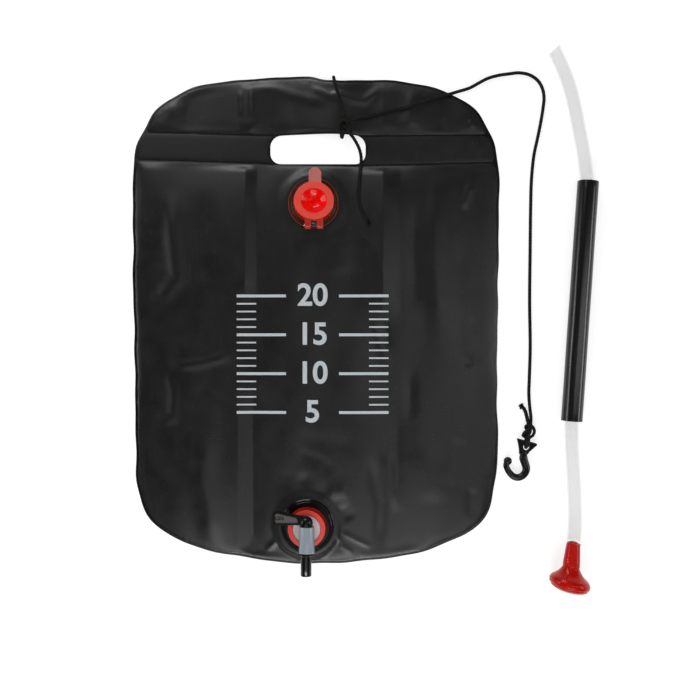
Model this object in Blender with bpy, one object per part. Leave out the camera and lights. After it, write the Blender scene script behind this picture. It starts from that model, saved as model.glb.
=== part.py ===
"""Camp shower bag lying flat on its back, with its hanging cord and hook and its loose hose set.

Metres, +Z up. The origin is on the floor under the middle of the bag, +X is to the right,
+Y runs toward the hand slot, and the front of the bag faces up.
"""

import math

import bmesh
import bpy
import numpy as np
from mathutils import Matrix, Vector
from mathutils.geometry import delaunay_2d_cdt, interpolate_bezier

# Clearances and counts that all pieces share
TOUCH_GAP = 0.0003
RUNNING_GAP = 0.0003
OVERRUN = 0.002
ROUND_STEPS = 28
SMALL_STEPS = 16
WELD = 0.000001
SMOOTH_ANGLE = math.radians(35)

# Bag film and outline
FILM = 0.0005
SEAM_WIDTH = 0.004
BAG_HALF_WIDTH = 0.209
BAG_HALF_FOOT = 0.205
BAG_HALF_LENGTH = 0.2774
SHOULDER_Y = 0.1484
HIP_Y = -0.1712
SHOULDER_RISE_SHARE = 0.71
SHOULDER_REACH_SHARE = 0.87
HIP_DROP_SHARE = 0.73
HIP_REACH_SHARE = 0.61
EDGE_DIP = 0.003
CORNER_POINTS = 14
SIDE_POINTS = 9

# Weld lines, hand slot and the height that the front film stands above the back film
CHAMBER_TOP_Y = 0.1745
STRIP_FOOT_Y = 0.2145
SLOT_X = 0.0023
SLOT_HALF_LENGTH = 0.0543
SLOT_LOW_Y = 0.1776
SLOT_HIGH_Y = 0.2092
SLOT_CORNER = 0.012
SLOT_BOW = 0.0024
CHAMBER_RISE = 0.0067
CHAMBER_BLEND = 0.026
STRIP_RISE = 0.0015
STRIP_BLEND = 0.015
MESH_PITCH = 0.027
MESH_CLEAR_SHARE = 0.42
BLEND_RING_SHARES = (0.0, 0.5, 1.0)

# The strip is lifted where the cord's loop passes behind it
LOOP_X = 0.0255
LOOP_HALF_SPAN = 0.045
LOOP_LIFT = 0.0039
LIFT_START_Y = 0.192
LIFT_RUN = 0.015
LIFT_COLUMN_SHARES = (-1.0, -0.55, -0.16, 0.16, 0.55, 1.0)
LIFT_ROWS = 5

# Filler: flange, neck, hinge and flip cap
FILLER_X = -0.0025
FILLER_Y = 0.1319
FILLER_FLANGE_R = 0.02875
FILLER_FLANGE_T = 0.0015
FILLER_RIM = 0.0016
FILLER_BORE_R = 0.0163
FILLER_NECK_WALL = 0.0022
FILLER_NECK_H = 0.0104
CAP_RING_R = 0.0225
CAP_RING_T = 0.002
PLUG_CLEARANCE = 0.0005
PLUG_WALL = 0.0013
PLUG_DEPTH = 0.0062
PLUG_FLOOR_T = 0.0015
TAB_WIDTH = 0.014
TAB_LENGTH = 0.0167
TAB_THICKNESS = 0.0014
TAB_ROOT = 0.0025
HINGE_REACH = 0.026
LUG_KNUCKLE_R = 0.0041
LUG_DROP = 0.0002
LUG_WIDTH = 0.0073
LUG_GAP = 0.0064
LUG_WEB_T = 0.0015
LUG_WEB_LENGTH = 0.007
BASE_KNUCKLE_R = 0.0036
HINGE_PIN_R = 0.0012
ARM_FOOT_SINK = 0.0009
ARM_TOP_DROP = 0.0025

# Tap: flange with its neck, washer, body, ring nut and turning core
TAP_X = -0.0095
TAP_FROM_FOOT = 0.044
TAP_FLANGE_R = 0.03025
TAP_FLANGE_T = 0.0016
TAP_STEP_R = 0.0255
TAP_STEP_T = 0.0016
TAP_NECK_R = 0.0175
TAP_NECK_H = 0.0117
TAP_BORE_R = 0.0125
WASHER_T = 0.0015
WASHER_INSET = 0.0005
DISC_FLANGE_R = 0.0172
DISC_FLANGE_T = 0.0022
DISC_BOSS_R = 0.0152
DISC_BOSS_T = 0.0023
NUT_R = 0.0219
NUT_LIP_T = 0.0024
BARREL_Z = 0.037
BARREL_FROM_TAP = 0.0041
BARREL_LENGTH = 0.0294
BARREL_TOP_R = 0.0077
BARREL_FOOT_R = 0.0087
BARREL_ROUND = 0.0018
STEM_R = 0.0041
STEM_SPREAD = 0.0083
STEM_SINK = 0.0009
STEM_BORE_R = 0.0022
CORE_SHAFT_R = 0.006
CORE_BORE_R = 0.0043
CORE_DOME_R = 0.0068
CORE_DOME_LENGTH = 0.012
CORE_LENGTH = 0.0541
CORE_BORE_STOP = 0.005
SNAP_BEAD_R = 0.0067
SNAP_BEAD_T = 0.0016
NIPPLE_CHAMFER = 0.0007
LEVER_LENGTH = 0.0362
LEVER_TIP_HEIGHT = 0.0148
LEVER_ROOT_HEIGHT = 0.0091
LEVER_FOOT = 0.00205
LEVER_THICKNESS = 0.0048
LEVER_ROOT_SHARE = 0.5
LEVER_CHAMFER = 0.0025

# Cord, its knots and the hook
CORD_R = 0.0016
CORD_STEP = 0.0085
LOOP_STEP = 0.003
FINE_STEP = 0.0002
HANG_KNOT_CENTRE = (0.0337, 0.2180, 0.0098)
HANG_KNOT_RADII = (0.0052, 0.0078, 0.0038)
HANG_KNOT_TURN = math.radians(12)
HOOK_KNOT_CENTRE = (0.2414, -0.1260, 0.0048)
HOOK_KNOT_RADII = (0.0068, 0.0074, 0.0044)
HOOK_KNOT_TURN = 0.0
KNOT_LUMP_SHARE = 0.02
KNOT_LUMPS = 3
KNOT_STEPS = 20
KNOT_RINGS = 10
EYE_X = 0.2386
EYE_Y = -0.1442
EYE_R = 0.0035
HOOK_HEAD = 0.0128
HOOK_HEAD_SHARES = (
    (-0.78, 0.80), (-0.66, 0.35), (-0.57, -0.16), (-0.55, -0.66), (0.17, -0.66),
    (0.25, -0.48), (0.95, 0.12), (1.0, 0.24), (0.90, 0.33),
)
HOOK_HEAD_LOW_Z = 0.0037
HOOK_HEAD_T = 0.0035
HOOK_DROP = 0.0348
HOOK_LINE_SHARES = (
    (-0.052, -0.15), (-0.069, -0.218), (-0.080, -0.376), (-0.032, -0.537),
    (0.011, -0.698), (-0.032, -0.853), (-0.152, -0.966), (-0.270, -1.0),
    (-0.399, -0.966), (-0.526, -0.853), (-0.618, -0.698), (-0.647, -0.595),
    (-0.615, -0.500),
)
HOOK_SHANK_R = 0.0048
HOOK_TIP_R = 0.0029
HOOK_NECK_SHARE = 0.55
HOOK_BALL_R = 0.00475
HOOK_BALL_SHARES = (-0.592, -0.460)
HOOK_STEP = 0.0035

# Hose, sleeve and shower head
HOSE_R = 0.0078
HOSE_BORE_R = 0.0062
HOSE_STEP = 0.018
HOSE_END_STEP = 0.006
HOSE_RESOLUTION = 4
HOSE_SIDES = 12
SLEEVE_R = 0.012
SLEEVE_WALL = 0.0018
SLEEVE_TOP = (0.3074, 0.1558)
SLEEVE_FOOT = (0.2888, -0.1143)
HEAD_LIP = (0.2856, -0.2735)
HEAD_TURN = math.radians(-8)
HEAD_FLOOR_CLEAR = 0.0001
STEM_LENGTH = 0.0245
STEM_TIP_R = 0.0056
HEAD_STEM_R = 0.0078
HEAD_STEM_BORE_R = 0.0042
COLLAR_R = 0.0092
BELL_LENGTH = 0.0198
RIM_R = 0.02325
RIM_T = 0.0025
RIM_DROP = 0.0008
BELL_WALL = 0.002
BELL_POWER = 1.5
BELL_RINGS = 6
ROSE_T = 0.0014
ROSE_BULGE = 0.0068
ROSE_SEAT = 0.002
ROSE_RINGS = 4
ROSE_HOLE_R = 0.0008
ROSE_HOLE_STEPS = 6
ROSE_HOLE_ROWS = ((0.0, 1), (0.35, 6), (0.68, 12))

# The cord's and the hose's own routes, point by point along their middles
LOOP_ROUTE = (
    (0.0328, 0.2225, 0.0102), (0.0312, 0.2305, 0.0096), (0.0298, 0.2400, 0.0090),
    (0.0266, 0.2520, 0.0087), (0.0232, 0.2630, 0.0084), (0.0213, 0.2700, 0.0079),
    (0.0206, 0.2742, 0.0071), (0.0203, 0.2762, 0.0060), (0.0202, 0.2769, 0.0044),
    (0.0203, 0.2762, 0.0028), (0.0205, 0.2742, 0.0018), (0.0213, 0.2700, 0.0017),
    (0.0232, 0.2600, 0.0017), (0.0262, 0.2400, 0.0017), (0.0287, 0.2200, 0.0017),
    (0.0295, 0.2125, 0.0017), (0.0297, 0.2088, 0.0022), (0.0299, 0.2074, 0.0046),
    (0.0302, 0.2084, 0.0070), (0.0312, 0.2108, 0.0088), (0.0324, 0.2150, 0.0098),
)
TAIL_ROUTE = (
    (0.0345, 0.2175, 0.0098), (0.0378, 0.2118, 0.0092), (0.0415, 0.2075, 0.0080),
    (0.0462, 0.2005, 0.0066), (0.0497, 0.1930, 0.0054), (0.0514, 0.1850, 0.0045),
    (0.0513, 0.1770, 0.0042), (0.0503, 0.1690, 0.0052), (0.0492, 0.1592, 0.0078),
    (0.0484, 0.1500, 0.0098), (0.0481, 0.1400, 0.0101), (0.0489, 0.1320, 0.0101),
    (0.0508, 0.1265, 0.0100), (0.0545, 0.1195, 0.0100), (0.0595, 0.1109, 0.0100),
)
RUN_ROUTE = (
    (0.0338, 0.2200, 0.0098), (0.0400, 0.2247, 0.0095), (0.0500, 0.2262, 0.0083),
    (0.0621, 0.2283, 0.0066), (0.0756, 0.2335, 0.0053), (0.0842, 0.2368, 0.0052),
    (0.0929, 0.2392, 0.0052), (0.1027, 0.2413, 0.0051), (0.1150, 0.2455, 0.0051),
    (0.1336, 0.2516, 0.0044), (0.1497, 0.2561, 0.0038), (0.1609, 0.2596, 0.0028),
    (0.1759, 0.2646, 0.0018), (0.1857, 0.2700, 0.0017), (0.1956, 0.2751, 0.0017),
    (0.2080, 0.2786, 0.0017), (0.2203, 0.2804, 0.0017), (0.2315, 0.2815, 0.0017),
    (0.2448, 0.2785, 0.0017), (0.2540, 0.2712, 0.0017), (0.2586, 0.2616, 0.0017),
    (0.2598, 0.2518, 0.0017), (0.2586, 0.2406, 0.0017), (0.2555, 0.2220, 0.0017),
    (0.2520, 0.2050, 0.0017), (0.2488, 0.1905, 0.0017), (0.2465, 0.1726, 0.0017),
    (0.2452, 0.1541, 0.0017), (0.2446, 0.1300, 0.0017), (0.2440, 0.0800, 0.0017),
    (0.2434, 0.0216, 0.0017), (0.2440, -0.0373, 0.0017), (0.2430, -0.0684, 0.0017),
    (0.2425, -0.0841, 0.0018), (0.2434, -0.0990, 0.0022), (0.2445, -0.1120, 0.0036),
    (0.2440, -0.1200, 0.0046),
)
HOOK_TAIL_ROUTE = (
    (0.2400, -0.1210, 0.0044), (0.2388, -0.1172, 0.0036), (0.2375, -0.1120, 0.0022),
    (0.2360, -0.1050, 0.0017), (0.2342, -0.0998, 0.0017), (0.2323, -0.0968, 0.0017),
)
EYE_ROUTE = (
    (0.2404, -0.1285, 0.0066), (0.2398, -0.1325, 0.0075), (0.2393, -0.1350, 0.0086),
    (0.2389, -0.1378, 0.0092), (0.2387, -0.1406, 0.0092), (0.2386, -0.1434, 0.0080),
    (0.2385, -0.1448, 0.0055), (0.2386, -0.1434, 0.0030), (0.2388, -0.1406, 0.0018),
    (0.2390, -0.1378, 0.0018), (0.2394, -0.1350, 0.0021), (0.2399, -0.1325, 0.0027),
    (0.2406, -0.1285, 0.0034),
)
HOSE_ROUTE = (
    (0.2700, 0.3059, 0.0079), (0.2780, 0.2890, 0.0079), (0.2850, 0.2715, 0.0079),
    (0.2900, 0.2550, 0.0079), (0.2942, 0.2365, 0.0080), (0.2982, 0.2155, 0.0083),
    (0.3020, 0.1940, 0.0092), (0.3048, 0.1740, 0.0101), (0.3066, 0.1560, 0.0107),
    (0.3061, 0.1360, 0.0108), (0.3045, 0.1100, 0.0108), (0.3018, 0.0700, 0.0107),
    (0.2987, 0.0250, 0.0107), (0.2956, -0.0200, 0.0107), (0.2925, -0.0650, 0.0108),
    (0.2899, -0.1000, 0.0110), (0.2888, -0.1180, 0.0114), (0.2886, -0.1350, 0.0123),
    (0.2890, -0.1541, 0.0141), (0.2898, -0.1760, 0.0170), (0.2904, -0.1950, 0.0196),
    (0.2908, -0.2100, 0.0215), (0.2909, -0.2245, 0.0228), (0.2906, -0.2379, 0.02335),
    (0.2890, -0.2492, 0.02335), (0.2873, -0.2614, 0.02335), (0.28565, -0.2732, 0.02335),
)

# Places and heights that follow from the sizes above
TAP_Y = TAP_FROM_FOOT - BAG_HALF_LENGTH
BARREL_TOP_Y = TAP_Y + BARREL_FROM_TAP
FRONT_LOW_Z = FILM + TOUCH_GAP
SEAT_Z = FRONT_LOW_Z + CHAMBER_RISE + FILM + TOUCH_GAP
FILLER_NECK_R = FILLER_BORE_R + FILLER_NECK_WALL
CAP_LOW = FILLER_NECK_H + TOUCH_GAP
CAP_HIGH = CAP_LOW + CAP_RING_T
PIN_H = CAP_HIGH - LUG_DROP - LUG_KNUCKLE_R
PIN_BORE_R = HINGE_PIN_R + RUNNING_GAP
WASHER_LOW = TAP_NECK_H + TOUCH_GAP
DISC_LOW = WASHER_LOW + WASHER_T + TOUCH_GAP
DISC_TOP = DISC_LOW + DISC_FLANGE_T + DISC_BOSS_T
NUT_LIP_LOW = DISC_LOW + DISC_FLANGE_T + TOUCH_GAP
NUT_LOW = TAP_FLANGE_T + TAP_STEP_T + TOUCH_GAP
HEAD_Z = RIM_R + HEAD_FLOOR_CLEAR
SLEEVE_BORE_R = SLEEVE_R - SLEEVE_WALL

# Colours of the real finishes, as red, green, blue and opacity
BLACK_FILM = (0.018, 0.018, 0.018, 1.0)
BLACK_CORD = (0.012, 0.012, 0.012, 1.0)
BLACK_PLASTIC = (0.012, 0.012, 0.013, 1.0)
SLEEVE_BLACK = (0.016, 0.016, 0.017, 1.0)
DARK_RED = (0.12, 0.02, 0.012, 0.85)
CAP_RED = (0.75, 0.03, 0.02, 1.0)
NUT_RED = (0.72, 0.04, 0.03, 1.0)
HEAD_RED = (0.52, 0.012, 0.006, 1.0)
BARREL_GREY = (0.33, 0.37, 0.42, 1.0)
RUBBER_BLACK = (0.02, 0.02, 0.02, 1.0)
STEEL = (0.6, 0.6, 0.6, 1.0)
CLEAR_PVC = (0.85, 0.86, 0.86, 0.35)


def clear_scene():
    """Removes whatever the scene holds."""
    for item in list(bpy.data.objects):
        bpy.data.objects.remove(item, do_unlink=True)


def finish(item, colour, roughness, metallic=0.0):
    """Gives a piece its own plain material."""
    material = bpy.data.materials.new(item.name + "_finish")
    material.use_nodes = True
    shader = material.node_tree.nodes["Principled BSDF"]
    shader.inputs["Base Color"].default_value = colour
    shader.inputs["Roughness"].default_value = roughness
    shader.inputs["Metallic"].default_value = metallic
    shader.inputs["Alpha"].default_value = colour[3]
    item.data.materials.clear()
    item.data.materials.append(material)
    if item.type == "MESH":
        item.data.shade_smooth()
        item.data.set_sharp_from_angle(angle=SMOOTH_ANGLE)


def add_mesh(name, verts, faces):
    """Makes a mesh object from corners and faces and links it to the scene."""
    mesh = bpy.data.meshes.new(name)
    mesh.from_pydata([tuple(v) for v in verts], [], [tuple(f) for f in faces])
    mesh.validate()
    item = bpy.data.objects.new(name, mesh)
    bpy.context.scene.collection.objects.link(item)
    return item


def bake(item):
    """Turns a curve, or a mesh with modifiers, into the plain mesh that it shows."""
    depsgraph = bpy.context.evaluated_depsgraph_get()
    mesh = bpy.data.meshes.new_from_object(item.evaluated_get(depsgraph))
    shell = bmesh.new()
    shell.from_mesh(mesh)
    bmesh.ops.remove_doubles(shell, verts=shell.verts, dist=WELD)
    shell.to_mesh(mesh)
    shell.free()
    name = item.name
    matrix = item.matrix_world.copy()
    bpy.data.objects.remove(item, do_unlink=True)
    solid = bpy.data.objects.new(name, mesh)
    bpy.context.scene.collection.objects.link(solid)
    solid.matrix_world = matrix
    return solid


def boolean(target, tool, operation):
    """Unites or cuts a piece with a tool body for good, and takes the tool away."""
    modifier = target.modifiers.new(operation.title(), "BOOLEAN")
    modifier.operation = operation
    modifier.solver = "EXACT"
    modifier.object = tool
    solid = bake(target)
    bpy.data.objects.remove(tool, do_unlink=True)
    return solid


def put_origin(item, point):
    """Moves a piece's origin to a point without moving its shape."""
    shift = item.matrix_world.inverted() @ Vector(point)
    item.data.transform(Matrix.Translation(-shift))
    item.matrix_world = item.matrix_world @ Matrix.Translation(shift)


def revolve(name, profile, steps, matrix):
    """Turns a closed profile of (radius, height), given anticlockwise, about the local Z axis."""
    verts = []
    rows = []
    for radius, height in profile:
        count = steps if radius > 0 else 1
        rows.append(list(range(len(verts), len(verts) + count)))
        for k in range(count):
            angle = 2 * math.pi * k / steps
            verts.append((radius * math.cos(angle), radius * math.sin(angle), height))
    faces = []
    for low, high in zip(rows, rows[1:] + rows[:1]):
        if len(low) == 1 and len(high) == 1:
            continue
        for k in range(steps):
            after = (k + 1) % steps
            corners = [low[k % len(low)], low[after % len(low)],
                       high[after % len(high)], high[k % len(high)]]
            faces.append(list(dict.fromkeys(corners)))
    item = add_mesh(name, verts, faces)
    item.data.transform(matrix)
    return item


def prism(name, outline, depth, matrix):
    """Extrudes an anticlockwise outline in XY from zero up to a depth, then places it."""
    count = len(outline)
    verts = [(x, y, 0) for x, y in outline] + [(x, y, depth) for x, y in outline]
    faces = [list(range(count))[::-1], list(range(count, 2 * count))]
    for k in range(count):
        after = (k + 1) % count
        faces.append([k, after, after + count, k + count])
    item = add_mesh(name, verts, faces)
    item.data.transform(matrix)
    return item


def arc(centre, radius, start, end, steps):
    """Points of an arc from one angle to another, both in degrees."""
    angles = np.radians(np.linspace(start, end, steps + 1))
    return [(centre[0] + radius * math.cos(a), centre[1] + radius * math.sin(a)) for a in angles]


def cylinder(name, radius, low, high, steps, matrix):
    """A plain round bar between two heights on the local Z axis."""
    profile = [(0, low), (radius, low), (radius, high), (0, high)]
    return revolve(name, profile, steps, matrix)


def along_x(origin):
    """Places local X as world Y, local Y as world Z and local Z as world X."""
    return Matrix.Translation(origin) @ Matrix(((0, 0, 1, 0), (1, 0, 0, 0), (0, 1, 0, 0), (0, 0, 0, 1)))


def toward_foot(origin, turn=0.0):
    """Turns local Z to run toward -Y, swung by an angle about the upright axis."""
    swing = Matrix.Rotation(turn, 4, "Z") @ Matrix.Rotation(math.radians(90), 4, "X")
    return Matrix.Translation(origin) @ swing


def soft_step(share):
    """Zero below 0, one above 1 and an even S-curve between."""
    share = np.clip(share, 0, 1)
    return share * share * (3 - 2 * share)


def bell(share):
    """One at the middle, falling evenly to zero at a distance of one."""
    return soft_step(1 - np.abs(share))


def top_edge():
    """The bag's top edge from right to left, with a point at each column of the lifted strip."""
    shoulder_rise = BAG_HALF_LENGTH - SHOULDER_Y
    right = interpolate_bezier(
        Vector((BAG_HALF_WIDTH, SHOULDER_Y)),
        Vector((BAG_HALF_WIDTH, SHOULDER_Y + SHOULDER_RISE_SHARE * shoulder_rise)),
        Vector((SHOULDER_REACH_SHARE * BAG_HALF_WIDTH, BAG_HALF_LENGTH)),
        Vector((0, BAG_HALF_LENGTH)), CORNER_POINTS)
    reach, height = np.array([tuple(p) for p in right]).T
    across = np.unique(np.concatenate([reach, -reach, lift_columns()]))[::-1]
    line = np.interp(np.abs(across), reach[::-1], height[::-1])
    return np.stack([across, line - EDGE_DIP * bell((across - LOOP_X) / LOOP_HALF_SPAN)], axis=1)


def foot_edge():
    """The bag's foot from left to right: two wide rounded corners."""
    hip_rise = HIP_Y + BAG_HALF_LENGTH
    right = interpolate_bezier(
        Vector((0, -BAG_HALF_LENGTH)), Vector((HIP_REACH_SHARE * BAG_HALF_FOOT, -BAG_HALF_LENGTH)),
        Vector((BAG_HALF_FOOT, HIP_Y - HIP_DROP_SHARE * hip_rise)),
        Vector((BAG_HALF_FOOT, HIP_Y)), CORNER_POINTS)
    right = np.array([tuple(p) for p in right])
    return np.concatenate([right[:0:-1] * (-1, 1), right])


def bag_outline():
    """The bag's edge, anticlockwise: the foot, the right side, the top and the left side."""
    foot, top = foot_edge(), top_edge()
    shares = np.arange(1, SIDE_POINTS)[:, None] / SIDE_POINTS
    right = foot[-1] + shares * (top[0] - foot[-1])
    left = top[-1] + shares * (foot[0] - top[-1])
    return np.concatenate([foot, right, top, left])


def inset_outline(points, depth):
    """The outline moved inward along its normals by a depth."""
    along = np.roll(points, -1, axis=0) - np.roll(points, 1, axis=0)
    along /= np.linalg.norm(along, axis=1)[:, None]
    return points + depth * np.stack([-along[:, 1], along[:, 0]], axis=1)


def edge_distance(points, outline):
    """Least distance of each point to the closed outline."""
    start = outline[None, :, :]
    step = (np.roll(outline, -1, axis=0) - outline)[None, :, :]
    offset = points[:, None, :] - start
    share = np.clip((offset * step).sum(2) / (step * step).sum(2), 0, 1)
    return np.linalg.norm(offset - share[:, :, None] * step, axis=2).min(1)


def inside(points, loop):
    """True for each point that lies inside a closed loop."""
    x, y = points[:, 0, None], points[:, 1, None]
    ax, ay = loop[:, 0], loop[:, 1]
    bx, by = np.roll(ax, -1), np.roll(ay, -1)
    spans = (ay > y) != (by > y)
    drop = np.where(by == ay, 1, by - ay)
    crossing = spans & (x < (bx - ax) * (y - ay) / drop + ax)
    return crossing.sum(1) % 2 == 1


def slot_outline():
    """The hand slot: a rounded rectangle whose upper edge bows up in the middle."""
    left, right = SLOT_X - SLOT_HALF_LENGTH + SLOT_CORNER, SLOT_X + SLOT_HALF_LENGTH - SLOT_CORNER
    low, high = SLOT_LOW_Y + SLOT_CORNER, SLOT_HIGH_Y - SLOT_CORNER
    steps = SMALL_STEPS // 4
    points = arc((left, low), SLOT_CORNER, 180, 270, steps) + arc((right, low), SLOT_CORNER, 270, 360, steps)
    points += arc((right, high), SLOT_CORNER, 0, 90, steps)
    points += [(right + (left - right) * k / steps, SLOT_HIGH_Y) for k in range(1, steps)]
    points += arc((left, high), SLOT_CORNER, 90, 180, steps)
    points = np.array(points)
    reach = (points[:, 0] - SLOT_X) / SLOT_HALF_LENGTH
    bow = SLOT_BOW * (1 - reach * reach)
    points[:, 1] += np.where(points[:, 1] > high, bow, 0)
    return points


def circle(x, y, radius, steps):
    """A round loop in the bag's plane."""
    return np.array(arc((x, y), radius, 0, 360, steps)[:-1])


def lift(points):
    """How far both films are raised where the cord's loop passes behind the strip."""
    across = bell((points[:, 0] - LOOP_X) / LOOP_HALF_SPAN)
    return LOOP_LIFT * across * soft_step((points[:, 1] - LIFT_START_Y) / LIFT_RUN)


def rise(points, outline):
    """How far the front film stands above the seam's level: chamber, fitting pads and strip."""
    inner = edge_distance(points, outline) - SEAM_WIDTH
    chamber = np.minimum(inner, CHAMBER_TOP_Y - points[:, 1])
    height = CHAMBER_RISE * soft_step(chamber / CHAMBER_BLEND)
    for x, y, pad, reach in fitting_pads():
        radius = np.hypot(points[:, 0] - x, points[:, 1] - y)
        height = np.maximum(height, CHAMBER_RISE * soft_step((reach - radius) / (reach - pad)))
    strip = np.minimum(inner, points[:, 1] - STRIP_FOOT_Y)
    return np.maximum(height, STRIP_RISE * soft_step(strip / STRIP_BLEND))


def fitting_pads():
    """Middle, flat radius and blend radius of the film's seat under each fitting."""
    filler_pad = FILLER_FLANGE_R + FILLER_RIM
    tap_pad = TAP_FLANGE_R + FILLER_RIM
    tap_reach = TAP_Y + BAG_HALF_LENGTH - SEAM_WIDTH
    filler_reach = CHAMBER_TOP_Y - FILLER_Y
    return ((FILLER_X, FILLER_Y, filler_pad, filler_reach), (TAP_X, TAP_Y, tap_pad, tap_reach))


def lift_columns():
    """Where the lifted part of the strip has its columns of mesh points."""
    return LOOP_X + LOOP_HALF_SPAN * np.array(LIFT_COLUMN_SHARES)


def strip_points(outline):
    """Mesh points of the slot's band and the strip, the same on both films."""
    rows = np.linspace(SLOT_HIGH_Y, BAG_HALF_LENGTH - EDGE_DIP - SEAM_WIDTH, LIFT_ROWS + 1)[1:]
    groups = [np.array([(x, y) for y in rows for x in lift_columns()])]
    columns = np.arange(-BAG_HALF_WIDTH, BAG_HALF_WIDTH, MESH_PITCH)
    for y in (CHAMBER_TOP_Y, STRIP_FOOT_Y, STRIP_FOOT_Y + STRIP_BLEND):
        groups.append(np.stack([columns, np.full_like(columns, y)], axis=1))
    seam = inset_outline(outline, SEAM_WIDTH)
    groups.append(seam[seam[:, 1] > CHAMBER_TOP_Y])
    return groups


def chamber_points(outline):
    """Mesh points that follow the front film's slopes over the water chamber."""
    groups = [inset_outline(outline, SEAM_WIDTH + s * CHAMBER_BLEND) for s in BLEND_RING_SHARES]
    columns = np.arange(-BAG_HALF_WIDTH, BAG_HALF_WIDTH, MESH_PITCH)
    for share in BLEND_RING_SHARES[1:]:
        y = CHAMBER_TOP_Y - share * CHAMBER_BLEND
        groups.append(np.stack([columns, np.full_like(columns, y)], axis=1))
    for x, y, pad, reach in fitting_pads():
        groups += [circle(x, y, pad, SMALL_STEPS * 2), circle(x, y, (pad + reach) / 2, SMALL_STEPS * 2)]
        groups.append(circle(x, y, reach, SMALL_STEPS * 2))
    across, along = np.meshgrid(columns, np.arange(-BAG_HALF_LENGTH, CHAMBER_TOP_Y, MESH_PITCH))
    groups.append(np.stack([across.ravel(), along.ravel()], axis=1))
    return groups


def spread_points(loops, groups, outline):
    """The loops' own points, then each further point that isn't crowded or outside the film."""
    kept = [tuple(p) for loop in loops for p in loop]
    least = MESH_PITCH * MESH_CLEAR_SHARE
    for group in groups:
        room = inside(group, outline)
        for hole in loops[1:]:
            room &= ~inside(group, hole)
        for point in group[room]:
            if np.min(np.linalg.norm(np.array(kept) - point, axis=1)) > least:
                kept.append(tuple(point))
    return kept


def film_sheet(name, loops, groups, low, high):
    """A sheet of film between two height functions, bounded by an outline and its holes."""
    points = spread_points(loops, groups, loops[0])
    edges = []
    first = 0
    for loop in loops:
        edges += [(first + k, first + (k + 1) % len(loop)) for k in range(len(loop))]
        first += len(loop)
    flat, _, triangles, *_ = delaunay_2d_cdt([Vector(p) for p in points], edges, [], 0, WELD)
    flat = np.array([tuple(p) for p in flat])
    triangles = np.array(triangles)
    middles = flat[triangles].mean(1)
    keep = inside(middles, loops[0])
    for hole in loops[1:]:
        keep &= ~inside(middles, hole)
    triangles = triangles[keep]
    count = len(flat)
    top = np.column_stack([flat, high(flat)])
    bottom = np.column_stack([flat, low(flat)])
    sides = {(a, b) for t in triangles for a, b in zip(t, np.roll(t, -1))}
    rim = [(b, a, a + count, b + count) for a, b in sides if (b, a) not in sides]
    under = [tuple(t[::-1] + count) for t in triangles]
    return add_mesh(name, np.concatenate([top, bottom]), [tuple(t) for t in triangles] + under + sorted(rim))


def make_back_panel():
    """Rear film, flat on the floor, with the hand slot and the lifted strip."""
    outline = bag_outline()
    item = film_sheet("back_panel", [outline, slot_outline()], strip_points(outline),
                      lift, lambda p: lift(p) + FILM)
    finish(item, BLACK_FILM, 0.45)


def make_front_panel():
    """Front film: welded along its edge, raised over the chamber, cut for slot, filler and tap."""
    outline = bag_outline()
    filler = circle(FILLER_X, FILLER_Y, FILLER_BORE_R, SMALL_STEPS)
    tap = circle(TAP_X, TAP_Y, TAP_BORE_R, SMALL_STEPS)

    def low(points):
        return lift(points) + FRONT_LOW_Z + rise(points, outline)

    item = film_sheet("front_panel", [outline, slot_outline(), filler, tap],
                      strip_points(outline) + chamber_points(outline), low, lambda p: low(p) + FILM)
    finish(item, BLACK_FILM, 0.4)


def make_filler_base():
    """Welded flange and neck of the filler, with the middle knuckle of its hinge."""
    place = Matrix.Translation((FILLER_X, FILLER_Y, SEAT_Z))
    rim_low = FILLER_FLANGE_T - FILLER_RIM / 4
    profile = [
        (FILLER_BORE_R, 0), (FILLER_FLANGE_R, 0), (FILLER_FLANGE_R, FILLER_FLANGE_T),
        (FILLER_FLANGE_R - FILLER_RIM, FILLER_FLANGE_T), (FILLER_FLANGE_R - FILLER_RIM, rim_low),
        (FILLER_NECK_R, rim_low), (FILLER_NECK_R, FILLER_NECK_H), (FILLER_BORE_R, FILLER_NECK_H),
    ]
    item = revolve("filler_base", profile, ROUND_STEPS, place)
    half = LUG_GAP / 2 - RUNNING_GAP
    neck_face = HINGE_REACH - FILLER_NECK_R + FILLER_NECK_WALL / 2
    foot = FILLER_FLANGE_T - PIN_H - ARM_FOOT_SINK
    outline = arc((0, 0), BASE_KNUCKLE_R, 75, 180, SMALL_STEPS // 2)
    outline += [(-BASE_KNUCKLE_R / 2, foot), (neck_face, foot), (neck_face, -ARM_TOP_DROP)]
    arm = prism("arm", outline, 2 * half, along_x((FILLER_X - half, FILLER_Y - HINGE_REACH, SEAT_Z + PIN_H)))
    item = boolean(item, arm, "UNION")
    item = boolean(item, hinge_bore(), "DIFFERENCE")
    put_origin(item, (FILLER_X, FILLER_Y, SEAT_Z))
    finish(item, DARK_RED, 0.3)


def hinge_bore():
    """Cutter for the hinge pin's bore through cap and base."""
    half = LUG_GAP / 2 + LUG_WIDTH + OVERRUN
    place = along_x((FILLER_X, FILLER_Y - HINGE_REACH, SEAT_Z + PIN_H))
    return cylinder("bore", PIN_BORE_R, -half, half, SMALL_STEPS, place)


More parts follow.
